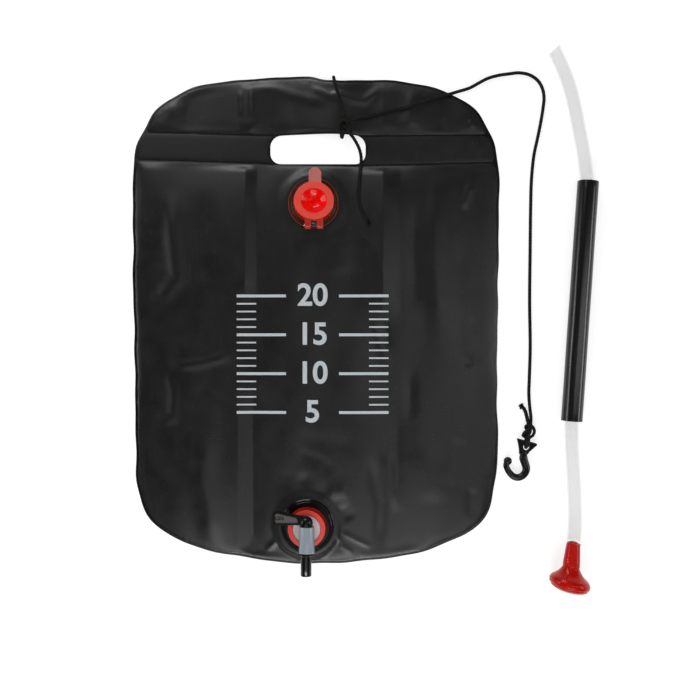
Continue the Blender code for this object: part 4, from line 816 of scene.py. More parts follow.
def plastic(name, colour, gloss, variety=0.10, grain=900.0, depth=0.00002, coat=0.0, shine=0.5, edge=None):
    """Moulded plastic: slight mottling of colour and gloss, fine grain and, where asked, a coat
    and a lighter colour where the surface turns away, which is a painted reflection of the surroundings."""
    made, tree, shader = new_material(name)
    place = add_node(tree, "ShaderNodeTexCoord").outputs["Object"]
    mottle = noise(tree, place, 90.0, 3.0)
    dark = tuple(c * (1 - variety) for c in colour)
    light = tuple(min(c * (1 + variety), 1.0) for c in colour)
    tone = tinted(tree, mottle, dark, light)
    # Painted reflection: toward grazing angles the colour fades to a lighter one, standing in for the pale
    # surroundings mirrored at the edges.
    if edge:
        painted_edge_reflection = add_node(tree, "ShaderNodeMix", data_type="RGBA")
        sockets = [s for s in painted_edge_reflection.inputs if s.type == "RGBA"]
        tree.links.new(tone, sockets[0])
        sockets[1].default_value = (*edge, 1)
        turned = add_node(tree, "ShaderNodeLayerWeight", {"Blend": 0.42})
        share = add_node(tree, "ShaderNodeMapRange", {"From Min": 0.28, "From Max": 0.85})
        tree.links.new(turned.outputs["Facing"], share.inputs["Value"])
        tree.links.new(share.outputs["Result"], painted_edge_reflection.inputs["Factor"])
        tone = next(s for s in painted_edge_reflection.outputs if s.type == "RGBA")
    tree.links.new(tone, shader.inputs["Base Color"])
    fine = noise(tree, place, grain, 3.0)
    tree.links.new(spread(tree, fine, gloss * 0.85, gloss * 1.2), shader.inputs["Roughness"])
    tree.links.new(bumped(tree, fine, depth, 0.5), shader.inputs["Normal"])
    shader.inputs["Coat Weight"].default_value = coat
    shader.inputs["Coat Roughness"].default_value = 0.08
    shader.inputs["Specular IOR Level"].default_value = shine
    return made


def film_material(settings):
    """Black PVC film: fine linen-like emboss of crossed lines, cloudy gloss, smooth shiny welds
    read from the weld attribute, and a few pale dust specks."""
    made, tree, shader = new_material("black_film")
    place = add_node(tree, "ShaderNodeTexCoord").outputs["Object"]
    weld = add_node(tree, "ShaderNodeAttribute", attribute_name="weld").outputs["Fac"]
    cloud = noise(tree, place, 22.0, 4.0, 0.6)
    base = tuple(settings.film_colour)
    tone = tinted(tree, cloud, tuple(c * 0.8 for c in base), tuple(c * 1.35 for c in base))
    specks = noise(tree, place, 1500.0, 0.0)
    dust = add_node(tree, "ShaderNodeMapRange", {"From Min": 0.80, "From Max": 0.84})
    tree.links.new(specks, dust.inputs["Value"])
    dusty = add_node(tree, "ShaderNodeMix", data_type="RGBA")
    sockets = [s for s in dusty.inputs if s.type == "RGBA"]
    tree.links.new(tone, sockets[0])
    sockets[1].default_value = (0.10, 0.10, 0.10, 1)
    tree.links.new(dust.outputs["Result"], dusty.inputs["Factor"])
    tree.links.new(next(s for s in dusty.outputs if s.type == "RGBA"), shader.inputs["Base Color"])
    rows = add_node(tree, "ShaderNodeTexWave", {"Scale": 190.0, "Distortion": 2.2, "Detail": 1.0,
                                                "Detail Scale": 2.0}, bands_direction="Y")
    columns = add_node(tree, "ShaderNodeTexWave", {"Scale": 150.0, "Distortion": 2.8, "Detail": 1.0,
                                                   "Detail Scale": 2.0}, bands_direction="X")
    tree.links.new(place, rows.inputs["Vector"])
    tree.links.new(place, columns.inputs["Vector"])
    weave = add_node(tree, "ShaderNodeMath", operation="MULTIPLY_ADD")
    weave.inputs[1].default_value = 0.6
    tree.links.new(columns.outputs["Fac"], weave.inputs[0])
    tree.links.new(rows.outputs["Fac"], weave.inputs[2])
    keep = add_node(tree, "ShaderNodeMapRange", {"To Min": 1.0, "To Max": 0.15})
    tree.links.new(weld, keep.inputs["Value"])
    emboss = add_node(tree, "ShaderNodeMath", operation="MULTIPLY")
    tree.links.new(weave.outputs["Value"], emboss.inputs[0])
    tree.links.new(keep.outputs["Result"], emboss.inputs[1])
    tree.links.new(bumped(tree, emboss.outputs["Value"], 0.00003, 0.55), shader.inputs["Normal"])
    level = settings.film_roughness
    dull = spread(tree, noise(tree, place, 60.0, 3.0), level * 0.9, level * 1.12)
    shine = add_node(tree, "ShaderNodeMix", data_type="FLOAT")
    sockets = [s for s in shine.inputs if s.type == "VALUE"]
    tree.links.new(weld, sockets[0])
    tree.links.new(dull, sockets[1])
    sockets[2].default_value = level * 0.6
    tree.links.new(shine.outputs[0], shader.inputs["Roughness"])
    return made


def cord_material(settings):
    """Braided cord: crossed diagonal threads on the cord's own UV map, dull, with a fuzzy edge."""
    made, tree, shader = new_material("black_cord")
    place = add_node(tree, "ShaderNodeUVMap", uv_map="UVMap").outputs["UV"]
    threads = []
    for turn in (0.9, -0.9):
        turned = add_node(tree, "ShaderNodeMapping", {"Rotation": (0, 0, turn)})
        tree.links.new(place, turned.inputs["Vector"])
        wave = add_node(tree, "ShaderNodeTexWave", {"Scale": 420.0, "Distortion": 1.5, "Detail": 2.0})
        tree.links.new(turned.outputs["Vector"], wave.inputs["Vector"])
        threads.append(wave.outputs["Fac"])
    crossed = add_node(tree, "ShaderNodeMath", operation="MAXIMUM")
    tree.links.new(threads[0], crossed.inputs[0])
    tree.links.new(threads[1], crossed.inputs[1])
    height = crossed.outputs["Value"]
    base = tuple(settings.cord_colour)
    # Painted glints: the lighter brownish spots sit on the threads' crests where a noise is high, standing in for
    # light caught by the braid.
    lit = noise(tree, place, 900.0, 2.0)
    crest_glints = add_node(tree, "ShaderNodeMath", operation="MULTIPLY")
    tree.links.new(height, crest_glints.inputs[0])
    tree.links.new(spread(tree, lit, 0.0, 1.3), crest_glints.inputs[1])
    sharp = add_node(tree, "ShaderNodeMapRange", {"From Min": 0.62, "From Max": 1.1})
    tree.links.new(crest_glints.outputs["Value"], sharp.inputs["Value"])
    tone = tinted(tree, sharp.outputs["Result"], tuple(c * 0.6 for c in base), (0.052, 0.044, 0.036))
    tree.links.new(tone, shader.inputs["Base Color"])
    tree.links.new(bumped(tree, height, 0.0001, 0.8), shader.inputs["Normal"])
    shader.inputs["Roughness"].default_value = 0.72
    shader.inputs["Specular IOR Level"].default_value = 0.12
    shader.inputs["Sheen Weight"].default_value = 0.04
    shader.inputs["Sheen Roughness"].default_value = 0.4
    return made


def hose_material(settings):
    """Clear hose: a faint even haze that grows toward the edges, glossy, with a slight drag."""
    made, tree, shader = new_material("clear_hose")
    place = add_node(tree, "ShaderNodeUVMap", uv_map="UVMap").outputs["UV"]
    drag = noise(tree, place, 60.0, 2.0)
    tree.links.new(spread(tree, drag, 0.10, 0.16), shader.inputs["Roughness"])
    tree.links.new(bumped(tree, drag, 0.00002, 0.2), shader.inputs["Normal"])
    shader.inputs["Base Color"].default_value = (*settings.hose_tint, 1)
    edge = add_node(tree, "ShaderNodeLayerWeight", {"Blend": 0.35})
    haze = add_node(tree, "ShaderNodeMapRange", {"To Min": 0.105, "To Max": 0.15})
    tree.links.new(edge.outputs["Facing"], haze.inputs["Value"])
    bare = add_node(tree, "ShaderNodeAttribute", attribute_name="bare")
    clear = add_node(tree, "ShaderNodeMath", operation="MULTIPLY")
    tree.links.new(haze.outputs["Result"], clear.inputs[0])
    tree.links.new(bare.outputs["Fac"], clear.inputs[1])
    tree.links.new(clear.outputs["Value"], shader.inputs["Alpha"])
    return made


def bag_outline(step):
    """The bag's edge, anticlockwise: two cubic Bezier shoulders, two cubic Bezier hips and
    straight sides between them, with a small dip at the cord's loop and a slight waviness."""
    t = np.linspace(0, 1, 60)[:, None]

    def bezier(a, b, c, d):
        a, b, c, d = (np.array(p) for p in (a, b, c, d))
        return (1 - t) ** 3 * a + 3 * t * (1 - t) ** 2 * b + 3 * t * t * (1 - t) * c + t ** 3 * d

    rise = BAG_HALF_LENGTH - SHOULDER_Y
    top = bezier((BAG_HALF_WIDTH, SHOULDER_Y), (BAG_HALF_WIDTH, SHOULDER_Y + SHOULDER_SHARES[0] * rise),
                 (SHOULDER_SHARES[1] * BAG_HALF_WIDTH, BAG_HALF_LENGTH), (0, BAG_HALF_LENGTH))
    drop = HIP_Y + BAG_HALF_LENGTH
    foot = bezier((0, -BAG_HALF_LENGTH), (HIP_SHARES[1] * BAG_HALF_FOOT, -BAG_HALF_LENGTH),
                  (BAG_HALF_FOOT, HIP_Y - HIP_SHARES[0] * drop), (BAG_HALF_FOOT, HIP_Y))
    half = np.concatenate([foot, top])
    loop = even_loop(np.concatenate([half, half[-2:0:-1] * (-1, 1)]), step)
    dip = EDGE_DIP * bell((loop[:, 0] - LOOP_X) / LOOP_HALF_SPAN)
    loop[:, 1] -= np.where(loop[:, 1] > SHOULDER_Y + rise / 2, dip, 0)
    at = np.arange(len(loop)) / len(loop) * TAU
    inward = 0.0003 * np.sin(23 * at) + 0.0003 * np.sin(37 * at + 1)
    for x, y, reach, outward in EDGE_BUMPS:
        inward -= outward * bell(np.hypot(loop[:, 0] - x, loop[:, 1] - y) / reach)
    return inset_outline(loop, inward[:, None])


def slot_outline(step):
    """The hand slot: a rounded rectangle whose upper edge bows up in the middle."""
    left, right = SLOT_X - SLOT_HALF_LENGTH, SLOT_X + SLOT_HALF_LENGTH
    box = [(left, SLOT_LOW_Y), (right, SLOT_LOW_Y), (right, SLOT_HIGH_Y), (left, SLOT_HIGH_Y)]
    centres = [(left + SLOT_CORNER, SLOT_LOW_Y + SLOT_CORNER), (right - SLOT_CORNER, SLOT_LOW_Y + SLOT_CORNER),
               (right - SLOT_CORNER, SLOT_HIGH_Y - SLOT_CORNER), (left + SLOT_CORNER, SLOT_HIGH_Y - SLOT_CORNER)]
    corners = [arc(x, y, SLOT_CORNER, start, start + 90, 10)
               for (x, y), start in zip(centres, (180, 270, 0, 90))]
    loop = even_loop(np.concatenate(corners), step)
    reach = (loop[:, 0] - (left + right) / 2) / SLOT_HALF_LENGTH
    high = loop[:, 1] > (box[0][1] + box[2][1]) / 2
    loop[:, 1] += np.where(high, SLOT_BOW * (1 - reach * reach), 0)
    return loop


def weld_line(points, line):
    """Height of a cross weld's middle line at each point."""
    line = np.array(line)
    return np.interp(points[:, 0], line[:, 0], line[:, 1])


def lift(points):
    """How far both films are raised where the cord's loop passes behind the strip."""
    across = bell((points[:, 0] - LOOP_X) / LOOP_HALF_SPAN)
    return LOOP_LIFT * across * soft_step((points[:, 1] - LIFT_START_Y) / LIFT_RUN)


def fitting_mask(points, reach):
    """Zero under the filler's and the tap's flanges, one at a reach outside them."""
    mask = np.ones(len(points))
    for x, y, radius in ((FILLER_X, FILLER_Y, FILLER_FLANGE_R), (TAP_X, TAP_Y, TAP_FLANGE_R)):
        away = np.hypot(points[:, 0] - x, points[:, 1] - y) - radius
        mask *= soft_step((away - 0.0005) / reach)
    return mask


def folds(points):
    """Sum of the tilted bands, the ridges and the slow swells of the front film.

    A band climbs evenly from its first line to its second and fades by an exponential beyond.
    A ridge is its height times the exponential of minus the squared distance over its squared
    width. Both fade out toward their ends, and a swell is a plain cosine across the bag."""
    x, y = points[:, 0], points[:, 1]
    total = np.zeros(len(points))
    for first, second, low, high, height, fade, low_run, high_run in BANDS:
        share = (x - first) / (second - first)
        beyond = np.maximum(share - 1, 0) * abs(second - first)
        ends = soft_step((y - low) / low_run + 0.5) * soft_step((high - y) / high_run + 0.5)
        total += height * np.clip(share, 0, 1) * np.exp(-beyond / fade) * ends
    for height, across, along, phase in SWELLS:
        total += height * np.cos(TAU * (x / across + y / along) + phase)
    total *= fitting_mask(points, 0.028) * FOLD_DEPTH
    narrow = fitting_mask(points, 0.009) * FOLD_DEPTH
    for height, width, line in RIDGES:
        away, at = line_distance(points, line)
        ends = soft_step(np.minimum(at, 1 - at) / 0.3 + 0.1)
        total += height * np.exp(-(away / width) ** 2) * ends * narrow
    return total


def film_zones(points, outline, slot):
    """Distances inward from the welds: of the chamber, the strip, the slot's band and the seam."""
    inner = loop_distance(points, outline) - SEAM_WIDTH
    y = points[:, 1]
    lower, upper = weld_line(points, LOWER_WELD), weld_line(points, UPPER_WELD)
    chamber = low_blend(inner, lower - WELD_HALF - y, CORNER_BLEND)
    strip = low_blend(inner, y - upper - WELD_HALF, CORNER_BLEND)
    band = low_blend(y - lower - WELD_HALF, upper - WELD_HALF - y, 0.002)
    band = low_blend(inner, band, CORNER_BLEND)
    around_slot = loop_distance(points, slot) - 0.0016
    return chamber, np.minimum(strip, around_slot), np.minimum(band, around_slot), inner, around_slot


def puff(distance, height):
    """The film's quick climb beside a weld: height times one less a fading exponential."""
    return height * (1 - np.exp(-np.maximum(distance, 0) / PUFF_REACH))


def front_height(points, outline, slot):
    """Height of the front film's underside and how much of each point is weld."""
    chamber, strip, band, inner, around_slot = film_zones(points, outline, slot)
    height = np.zeros(len(points))
    toward_weld = np.maximum(CHAMBER_TOP_Y - points[:, 1], 0)
    body = (CHAMBER_RISE - PUFF) * (1 - np.exp(-np.maximum(inner, 0) / 0.050)) * (1 - np.exp(-toward_weld / 0.024))
    seats = ((FILLER_X, FILLER_Y, FILLER_FLANGE_R + 0.0016, CHAMBER_TOP_Y - FILLER_Y),
             (TAP_X, TAP_Y, TAP_FLANGE_R + 0.0016, TAP_Y + BAG_HALF_LENGTH - SEAM_WIDTH))
    for x, y, pad, reach in seats:
        radius = np.hypot(points[:, 0] - x, points[:, 1] - y)
        body += (CHAMBER_RISE - PUFF - body) * soft_step((reach - radius) / (reach - pad))
    near = soft_step(np.maximum(chamber, strip) / 0.010)
    relief = folds(points) * near
    crinkle = 0.00008 * np.sin(TAU * (points[:, 0] + 0.4 * points[:, 1]) / 0.011)
    crinkle *= np.sin(TAU * (points[:, 1] - 0.3 * points[:, 0]) / 0.013)
    crinkle *= np.exp(-np.maximum(inner, 0) / 0.010) * soft_step(np.maximum(chamber, strip) / 0.003)
    height = np.where(chamber > 0, body + puff(chamber, PUFF), 0)
    strip_rise = (STRIP_RISE - PUFF) * soft_step(strip / STRIP_BLEND) + puff(strip, PUFF)
    height = np.maximum(height, np.where(strip > 0, strip_rise, 0))
    height = np.maximum(height, np.where(band > 0, puff(band, BAND_PUFF), 0))
    height = np.maximum(height + relief + crinkle, 0)
    welded = 1 - soft_step(np.maximum(np.maximum(chamber, strip), band) / 0.0008)
    return FRONT_LOW_Z + lift(points) + height, welded


def back_height(points, outline, slot):
    """Height of the back film's underside: on the floor, and a hair higher along the welds and
    over the creases that show through from the front."""
    chamber, strip, band, inner, around_slot = film_zones(points, outline, slot)
    zone = np.maximum(np.maximum(chamber, strip), band)
    welded = 1 - soft_step(zone / 0.0012)
    relief = np.clip(folds(points) * 0.9, 0, 0.0006) * soft_step(chamber / 0.010)
    return lift(points) + np.maximum(0.00022 * welded * (inner > 0), relief), welded


def weld_points(pitch):
    """Mesh points in rows along both cross welds."""
    across = np.arange(-0.208, 0.208, pitch)
    groups = []
    for line in (LOWER_WELD, UPPER_WELD):
        middle = weld_line(np.stack([across, across], axis=1), line)
        for off in (0, 0.0006, 0.0011, 0.0015, 0.0021, 0.0030, 0.0043):
            for side in (-1, 1):
                groups.append(np.stack([across, middle + side * off], axis=1))
    return groups


def fold_points(pitch):
    """Mesh points in columns along the bands' edges and in rows along narrow ridges."""
    groups = []
    for first, second, low, high, *_ in BANDS:
        up = np.arange(low - pitch, high + pitch, pitch)
        for line in (first, second):
            groups += [np.stack([np.full_like(up, line + off), up], axis=1) for off in (0, -0.0009, 0.0009)]
    for _, width, line in RIDGES:
        if width < 0.0041:
            line = np.array(line)
            steps = np.linspace(0, len(line) - 1, 60)
            path = np.stack([np.interp(steps, np.arange(len(line)), line[:, k]) for k in range(2)], axis=1)
            ahead = np.gradient(path, axis=0)
            ahead /= np.linalg.norm(ahead, axis=1)[:, None]
            cross = np.stack([-ahead[:, 1], ahead[:, 0]], axis=1)
            groups += [path + off * width * cross for off in (0, -0.6, 0.6, -1.2, 1.2)]
    return groups


def film_sheet(name, pitch, loops, groups, heights):
    """A film of even thickness: a Delaunay mesh over all points, cut to the loops, lifted to the
    heights, with an upper and a lower skin and a rim between them along every edge."""
    fixed = np.concatenate(loops)
    free = np.concatenate(groups)
    room = inside(free, inset_outline(loops[0], 0.0004))
    for hole in loops[1:]:
        room &= ~inside(free, inset_outline(hole, -0.0004))
    free = free[room]
    cells = np.round(free / 0.0009).astype(int)
    _, first = np.unique(cells, axis=0, return_index=True)
    free = free[np.sort(first)]
    edges = []
    start = 0
    for loop in loops:
        count = len(loop)
        edges += [(start + k, start + (k + 1) % count) for k in range(count)]
        start += count
    points = np.concatenate([fixed, free])
    flat, _, triangles, *_ = delaunay_2d_cdt([Vector(p) for p in points], edges, [], 0, MERGE)
    flat = np.array([tuple(p) for p in flat])
    triangles = np.array(triangles)
    middles = flat[triangles].mean(1)
    keep = inside(middles, loops[0])
    for hole in loops[1:]:
        keep &= ~inside(middles, hole)
    triangles = triangles[keep]
    height, welded = heights(flat)
    count = len(flat)
    verts = np.concatenate([np.column_stack([flat, height + FILM]), np.column_stack([flat, height])])
    directed = np.concatenate([triangles[:, [0, 1]], triangles[:, [1, 2]], triangles[:, [2, 0]]])
    keys = directed.min(1) * count + directed.max(1)
    _, index, uses = np.unique(keys, return_index=True, return_counts=True)
    edge = directed[index[uses == 1]]
    rim = np.stack([edge[:, 1], edge[:, 0], edge[:, 0] + count, edge[:, 1] + count], axis=1)
    faces = triangles.tolist() + (triangles[:, ::-1] + count).tolist() + rim.tolist()
    mesh = bpy.data.meshes.new(name)
    mesh.from_pydata(verts.tolist(), [], faces)
    mesh.attributes.new("weld", "FLOAT", "POINT").data.foreach_set("value", np.tile(welded, 2).astype(np.float32))
    mesh.shade_smooth()
    mesh.set_sharp_from_angle(angle=math.radians(60))
    item = bpy.data.objects.new(name, mesh)
    bpy.context.scene.collection.objects.link(item)
    area = np.cross(flat[triangles[:, 1]] - flat[triangles[:, 0]],
                    flat[triangles[:, 2]] - flat[triangles[:, 0]]).sum() / 2
    return item, float(abs(area))


def make_films(settings):
    """Both films, each a sheet of the bag's flat size."""
    finish = film_material(settings)
    pitch = settings.grid_pitch
    outline, slot = bag_outline(pitch), slot_outline(0.0018)
    across, along = np.meshgrid(np.arange(-0.21, 0.21, pitch), np.arange(-0.28, 0.28, pitch))
    grid = np.stack([across.ravel(), along.ravel()], axis=1)
    rings = [inset_outline(outline, d) for d in (0.0009, 0.0018, 0.0024, 0.0028, 0.0032, 0.0037, 0.0044, 0.0054, 0.0070)]
    rings += [inset_outline(slot, -d) for d in (0.0008, 0.0016, 0.0021, 0.0028, 0.0040)]
    holes = [circle(FILLER_X, FILLER_Y, FILLER_BORE_R, 48), circle(TAP_X, TAP_Y, TAP_BORE_R, 40)]
    seats = [circle(x, y, r + off, 90) for x, y, r in ((FILLER_X, FILLER_Y, FILLER_FLANGE_R),
                                                       (TAP_X, TAP_Y, TAP_FLANGE_R))
             for off in (0, 0.0012, 0.0024, 0.0040)]
    front, area = film_sheet(
        "front_film", pitch, [outline, slot] + holes,
        rings + weld_points(pitch) + fold_points(pitch) + seats + [grid],
        lambda points: front_height(points, outline, slot))
    seat(front, "bag", finish, ["front_panel"])
    coarse = grid.reshape(across.shape + (2,))[::2, ::2].reshape(-1, 2)
    back, area = film_sheet(
        "back_film", pitch, [outline, slot], rings[2:6] + weld_points(pitch * 2) + [coarse],
        lambda points: back_height(points, outline, slot))
    seat(back, "bag", finish, ["back_panel"])


def flat_text(body, size, weight):
    """A word as a flat mesh about the origin: Blender's own font, thickened by a weight."""
    curve = bpy.data.curves.new("word", "FONT")
    curve.body = body
    curve.size = size
    curve.offset = weight
    curve.align_x = "CENTER"
    curve.align_y = "CENTER"
    item = bpy.data.objects.new("word", curve)
    bpy.context.scene.collection.objects.link(item)
    return baked(item)


def draped(name, pieces, surface, clearance, thickness):
    """Lays flat pieces on a surface: cuts them along a fine square grid, sets each point to the
    surface's height there plus a clearance, and gives them a thickness."""
    merged = bmesh.new()
    for piece in pieces:
        merged.from_mesh(piece.data)
        bpy.data.objects.remove(piece, do_unlink=True)
    coords = np.array([tuple(v.co) for v in merged.verts])
    low, high = coords.min(0), coords.max(0)
    for axis in (0, 1):
        normal = Vector((1 - axis, axis, 0))
        for at in np.arange(low[axis], high[axis], 0.0022)[1:]:
            geometry = merged.verts[:] + merged.edges[:] + merged.faces[:]
            bmesh.ops.bisect_plane(merged, geom=geometry, dist=MERGE, plane_co=normal * at, plane_no=normal)
    bmesh.ops.triangulate(merged, faces=merged.faces)
    mesh = bpy.data.meshes.new(name)
    merged.to_mesh(mesh)
    merged.free()
    coords = np.empty(len(mesh.vertices) * 3)
    mesh.vertices.foreach_get("co", coords)
    coords = coords.reshape(-1, 3)
    coords[:, 2] = surface(coords[:, :2]) + clearance
    mesh.vertices.foreach_set("co", coords.ravel())
    item = bpy.data.objects.new(name, mesh)
    bpy.context.scene.collection.objects.link(item)
    wall = item.modifiers.new("Thickness", "SOLIDIFY")
    wall.thickness = thickness
    wall.offset = 1.0
    return item


def print_material(settings):
    """Screen print: pale, slightly uneven ink."""
    made, tree, shader = new_material("pale_print")
    place = add_node(tree, "ShaderNodeTexCoord").outputs["Object"]
    cloud = noise(tree, place, 260.0, 5.0, 0.7)
    base = tuple(settings.print_colour)
    tree.links.new(tinted(tree, cloud, tuple(c * 0.82 for c in base), tuple(c * 1.12 for c in base)),
                   shader.inputs["Base Color"])
    tree.links.new(bumped(tree, cloud, 0.00002, 0.5), shader.inputs["Normal"])
    shader.inputs["Roughness"].default_value = 0.55
    return made


def make_print(settings):
    """A plain fill scale: numbers in steps of five between long ticks, short ticks between."""
    outline, slot = bag_outline(0.0054), slot_outline(0.0036)
    middle, top, step = -0.0036, 0.0270, 0.0440
    pieces = []

    def tick(x, y, width, height):
        verts = np.array([(x, y - height / 2, 0), (x + width, y - height / 2, 0),
                          (x + width, y + height / 2, 0), (x, y + height / 2, 0)])
        mesh = bpy.data.meshes.new("tick")
        mesh.from_pydata(verts.tolist(), [], [(0, 1, 2, 3)])
        item = bpy.data.objects.new("tick", mesh)
        bpy.context.scene.collection.objects.link(item)
        pieces.append(item)

    for row, number in enumerate(("20", "15", "10", "5")):
        y = top - row * step
        word = flat_text(number, settings.digit_height * 1.42, 0.0008)
        word.data.transform(Matrix.Translation((middle, y, 0)))
        pieces.append(word)
        for side in (-1, 1):
            inner = middle + side * 0.030
            tick(min(inner, inner + side * 0.056), y, 0.056, 0.0032)
            for part in range(1, 5) if row < 3 else ():
                outer = middle + side * 0.086
                tick(min(outer, outer - side * 0.022), y - part * step / 5, 0.022, 0.0018)

    def surface(points):
        return front_height(points, outline, slot)[0] + FILM

    item = draped("fill_scale_print", pieces, surface, 0.00009, 0.00006)
    seat(item, "bag", print_material(settings))


def laid(points, radius, knot_at):
    """A cord's points set down on the film or the floor: each height becomes the surface's own
    plus the radius, evened over 5 mm, and near the knot the route's height stays. The points
    spread from the photograph's middle so that they keep their place in the picture."""
    outline, slot = bag_outline(0.0054), slot_outline(0.0036)
    over = inside(points[:, :2], outline) & ~inside(points[:, :2], slot)
    film = front_height(points[:, :2], outline, slot)[0] + FILM
    support = np.where(over, film, np.where(inside(points[:, :2], outline), points[:, 2] - radius, 0)) + radius
    away = np.linalg.norm(points[:, :2] - np.array(knot_at[:2]), axis=1)
    height = points[:, 2] + (support - points[:, 2]) * soft_step((away - 0.006) / 0.022)
    width = 11
    padded = np.concatenate([np.full(width, height[0]), height, np.full(width, height[-1])])
    even = np.convolve(padded, np.hanning(2 * width + 1) / np.hanning(2 * width + 1).sum(), mode="valid")
    even = np.where(away > 0.03, np.maximum(even, support - 0.0003), even)
    middle = np.array(PHOTO_MIDDLE)
    spread_out = ((1 - even) / (1 - points[:, 2]))[:, None]
    return np.column_stack([middle + (points[:, :2] - middle) * spread_out, even])


def braided(name, route, settings, knot_at=None, radius=CORD_SHOWN_R):
    """A braided cord along a route: its radius gains the product of a cosine four times round
    and a cosine along the cord, which makes crossing strands."""
    step, sides = 0.00045, 20
    points = smooth_route(route, step)
    if knot_at is not None:
        points = laid(points, radius, knot_at)
    points[:, 2] = np.maximum(points[:, 2], radius + settings.strand_relief)
    at = np.arange(len(points))[:, None] * step
    angle = TAU * np.arange(sides)[None, :] / sides
    relief = settings.strand_relief * np.cos(4 * angle) * np.cos(TAU * at / 0.0034)
    around = TAU * CORD_R / sides
    return tube(name, points, radius * 0.96 + relief, sides, uv_scale=(step, around)), points


def knot(name, strands, settings):
    """A tied knot: the cord's turns over and under each other, each along its own short route."""
    return joined(name, [braided(name, route, settings, radius=radius)[0] for radius, route in strands])


def fibres(name, tip, heading, count, length, width, seed):
    """A frayed end: thin tapering threads that start across the cord's section and fan out; each
    follows a straight line plus a sideways bend that grows with the square of the way along."""
    rng = np.random.default_rng(seed)
    heading = np.array(heading) / np.linalg.norm(heading)
    side = np.cross(heading, (0, 0, 1.0))
    side /= np.linalg.norm(side)
    up = np.cross(side, heading)
    base = rng.uniform(-1, 1, (count, 2)) * CORD_R * 0.6
    fan = base / CORD_R * 0.8 + rng.normal(0, 0.22, (count, 2))
    bend = rng.normal(0, 0.25, (count, 2))
    reach = length * rng.uniform(0.6, 1.0, count)
    s = np.linspace(0, 1, 6)
    off = base[:, None] + reach[:, None, None] * (fan[:, None] * s[None, :, None]
                                                  + bend[:, None] * (s * s)[None, :, None])
    ahead = (reach[:, None] * s - 0.0008)[:, :, None] * heading
    line = np.array(tip) + ahead + off[:, :, :1] * side + off[:, :, 1:] * up
    line[:, :, 2] = np.maximum(line[:, :, 2], width)
    angle = TAU * np.arange(4) / 4
    ring = np.cos(angle)[:, None] * side + np.sin(angle)[:, None] * up
    thick = width * (1 - 0.65 * s)[None, :, None, None]
    grid = line[:, :, None, :] + ring[None, None] * thick
    verts = grid.reshape(-1, 3)
    first = (np.arange(count) * 24)[:, None]
    k, j = (a.ravel() for a in np.meshgrid(np.arange(5), np.arange(4), indexing="ij"))
    quad = np.stack([k * 4 + j, k * 4 + (j + 1) % 4, (k + 1) * 4 + (j + 1) % 4, (k + 1) * 4 + j], axis=1)
    faces = (first[:, :, None] + quad[None]).reshape(-1, 4).tolist()
    faces += (first + np.array([3, 2, 1, 0])).tolist() + (first + np.array([20, 21, 22, 23])).tolist()
    return place_mesh(name, verts, faces, np.zeros((len(faces) * 4, 2)))


def make_cords(settings):
    """The hanging cord: its loop, short end, long run, eye turn and tails, with both knots."""
    finish = cord_material(settings)

    def cord_piece(item, replaced=()):
        return seat(item, "bag", finish, replaced)

    loop, loop_points = braided("hang_loop_cord", LOOP_ROUTE, settings)
    tail, tail_points = braided("hang_tail_cord", TAIL_ROUTE, settings, HANG_KNOT)
    run, run_points = braided("hang_run_cord", RUN_ROUTE, settings, HANG_KNOT)
    for item, node in ((loop, "hang_loop"), (tail, "hang_tail"), (run, "hang_cord")):
        cord_piece(item, [node])
    hang = cord_piece(knot("hang_knot_cord", HANG_KNOT_TURNS, settings), ["hang_knot"])
    hooked = cord_piece(knot("hook_knot_cord", HOOK_KNOT_TURNS, settings), ["hook_knot"])
    eye = cord_piece(braided("hook_eye_cord", EYE_ROUTE, settings, radius=0.0019)[0], ["hook_loop"])
    short = cord_piece(braided("hook_tail_cord", HOOK_TAIL_ROUTE, settings, radius=0.0022)[0], ["hook_tail"])
    lobes = cord_piece(knot("hook_tail_lobes", TAIL_LOBES, settings))
    tail_fray = cord_piece(fibres("hang_tail_fray", tail_points[-1], tail_points[-1] - tail_points[-8],
                                  46, 0.0050, 0.00012, 3))
    hook_fray = cord_piece(fibres("hook_tail_fray", HOOK_TAIL_ROUTE[-1], (-0.54, 0.84, 0.0),
                                  60, 0.0040, 0.00036, 5))


def shown_stem(height):
    """Radius of the head's stem at a height beside the hose's lip, as the clear hose shows it: a
    straight taper that fills the hose."""
    return 0.0096 + (0.0096 - 0.0075) * height / STEM_LENGTH


def make_hose(settings):
    """The clear hose: its outer and inner skins carried along one route, flared over the head's
    stem and cut off at a slant at its bare end."""
    points = smooth_route(HOSE_ROUTE, 0.0015)
    back = np.linalg.norm(points - points[-1], axis=1)
    stem = shown_stem(-back)
    on_stem = soft_step((STEM_LENGTH - back) / 0.003)
    bore = HOSE_BORE_R + (stem + 0.0001 - HOSE_BORE_R) * on_stem
    outer = np.maximum(HOSE_R, stem + 0.00045)
    lip = np.exp(-(back / 0.0007) ** 2)
    outer = outer + 0.00015 * lip
    along, side, up = path_frames(points)
    sides = 40
    angle = TAU * np.arange(sides) / sides
    ring = np.cos(angle)[None, :, None] * side[:, None] + np.sin(angle)[None, :, None] * up[:, None]
    slant = 0.0022 * np.exp(-(np.linalg.norm(points - points[0], axis=1) / 0.004) ** 2)
    skins = []
    for radius in (outer, bore):
        shift = along[:, None] * (slant[:, None] * (np.cos(angle) * radius[0] / HOSE_R)[None, :])[:, :, None]
        skins.append(points[:, None] + ring * radius[:, None, None] + shift)
    grid = np.concatenate([skins[0], skins[1][::-1]])
    item = skin("clear_hose", grid, along=True, uv_size=(0.0015, TAU * HOSE_R / sides))
    coords = np.empty(len(item.data.vertices) * 3)
    item.data.vertices.foreach_get("co", coords)
    away = np.linalg.norm(coords.reshape(-1, 3) - points[-1], axis=1)
    bare = 0.06 + 0.94 * soft_step((away - STEM_LENGTH - 0.0012) / 0.003)
    item.data.attributes.new("bare", "FLOAT", "POINT").data.foreach_set("value", bare.astype(np.float32))
    seat(item, "hose_set", hose_material(settings), ["hose"])


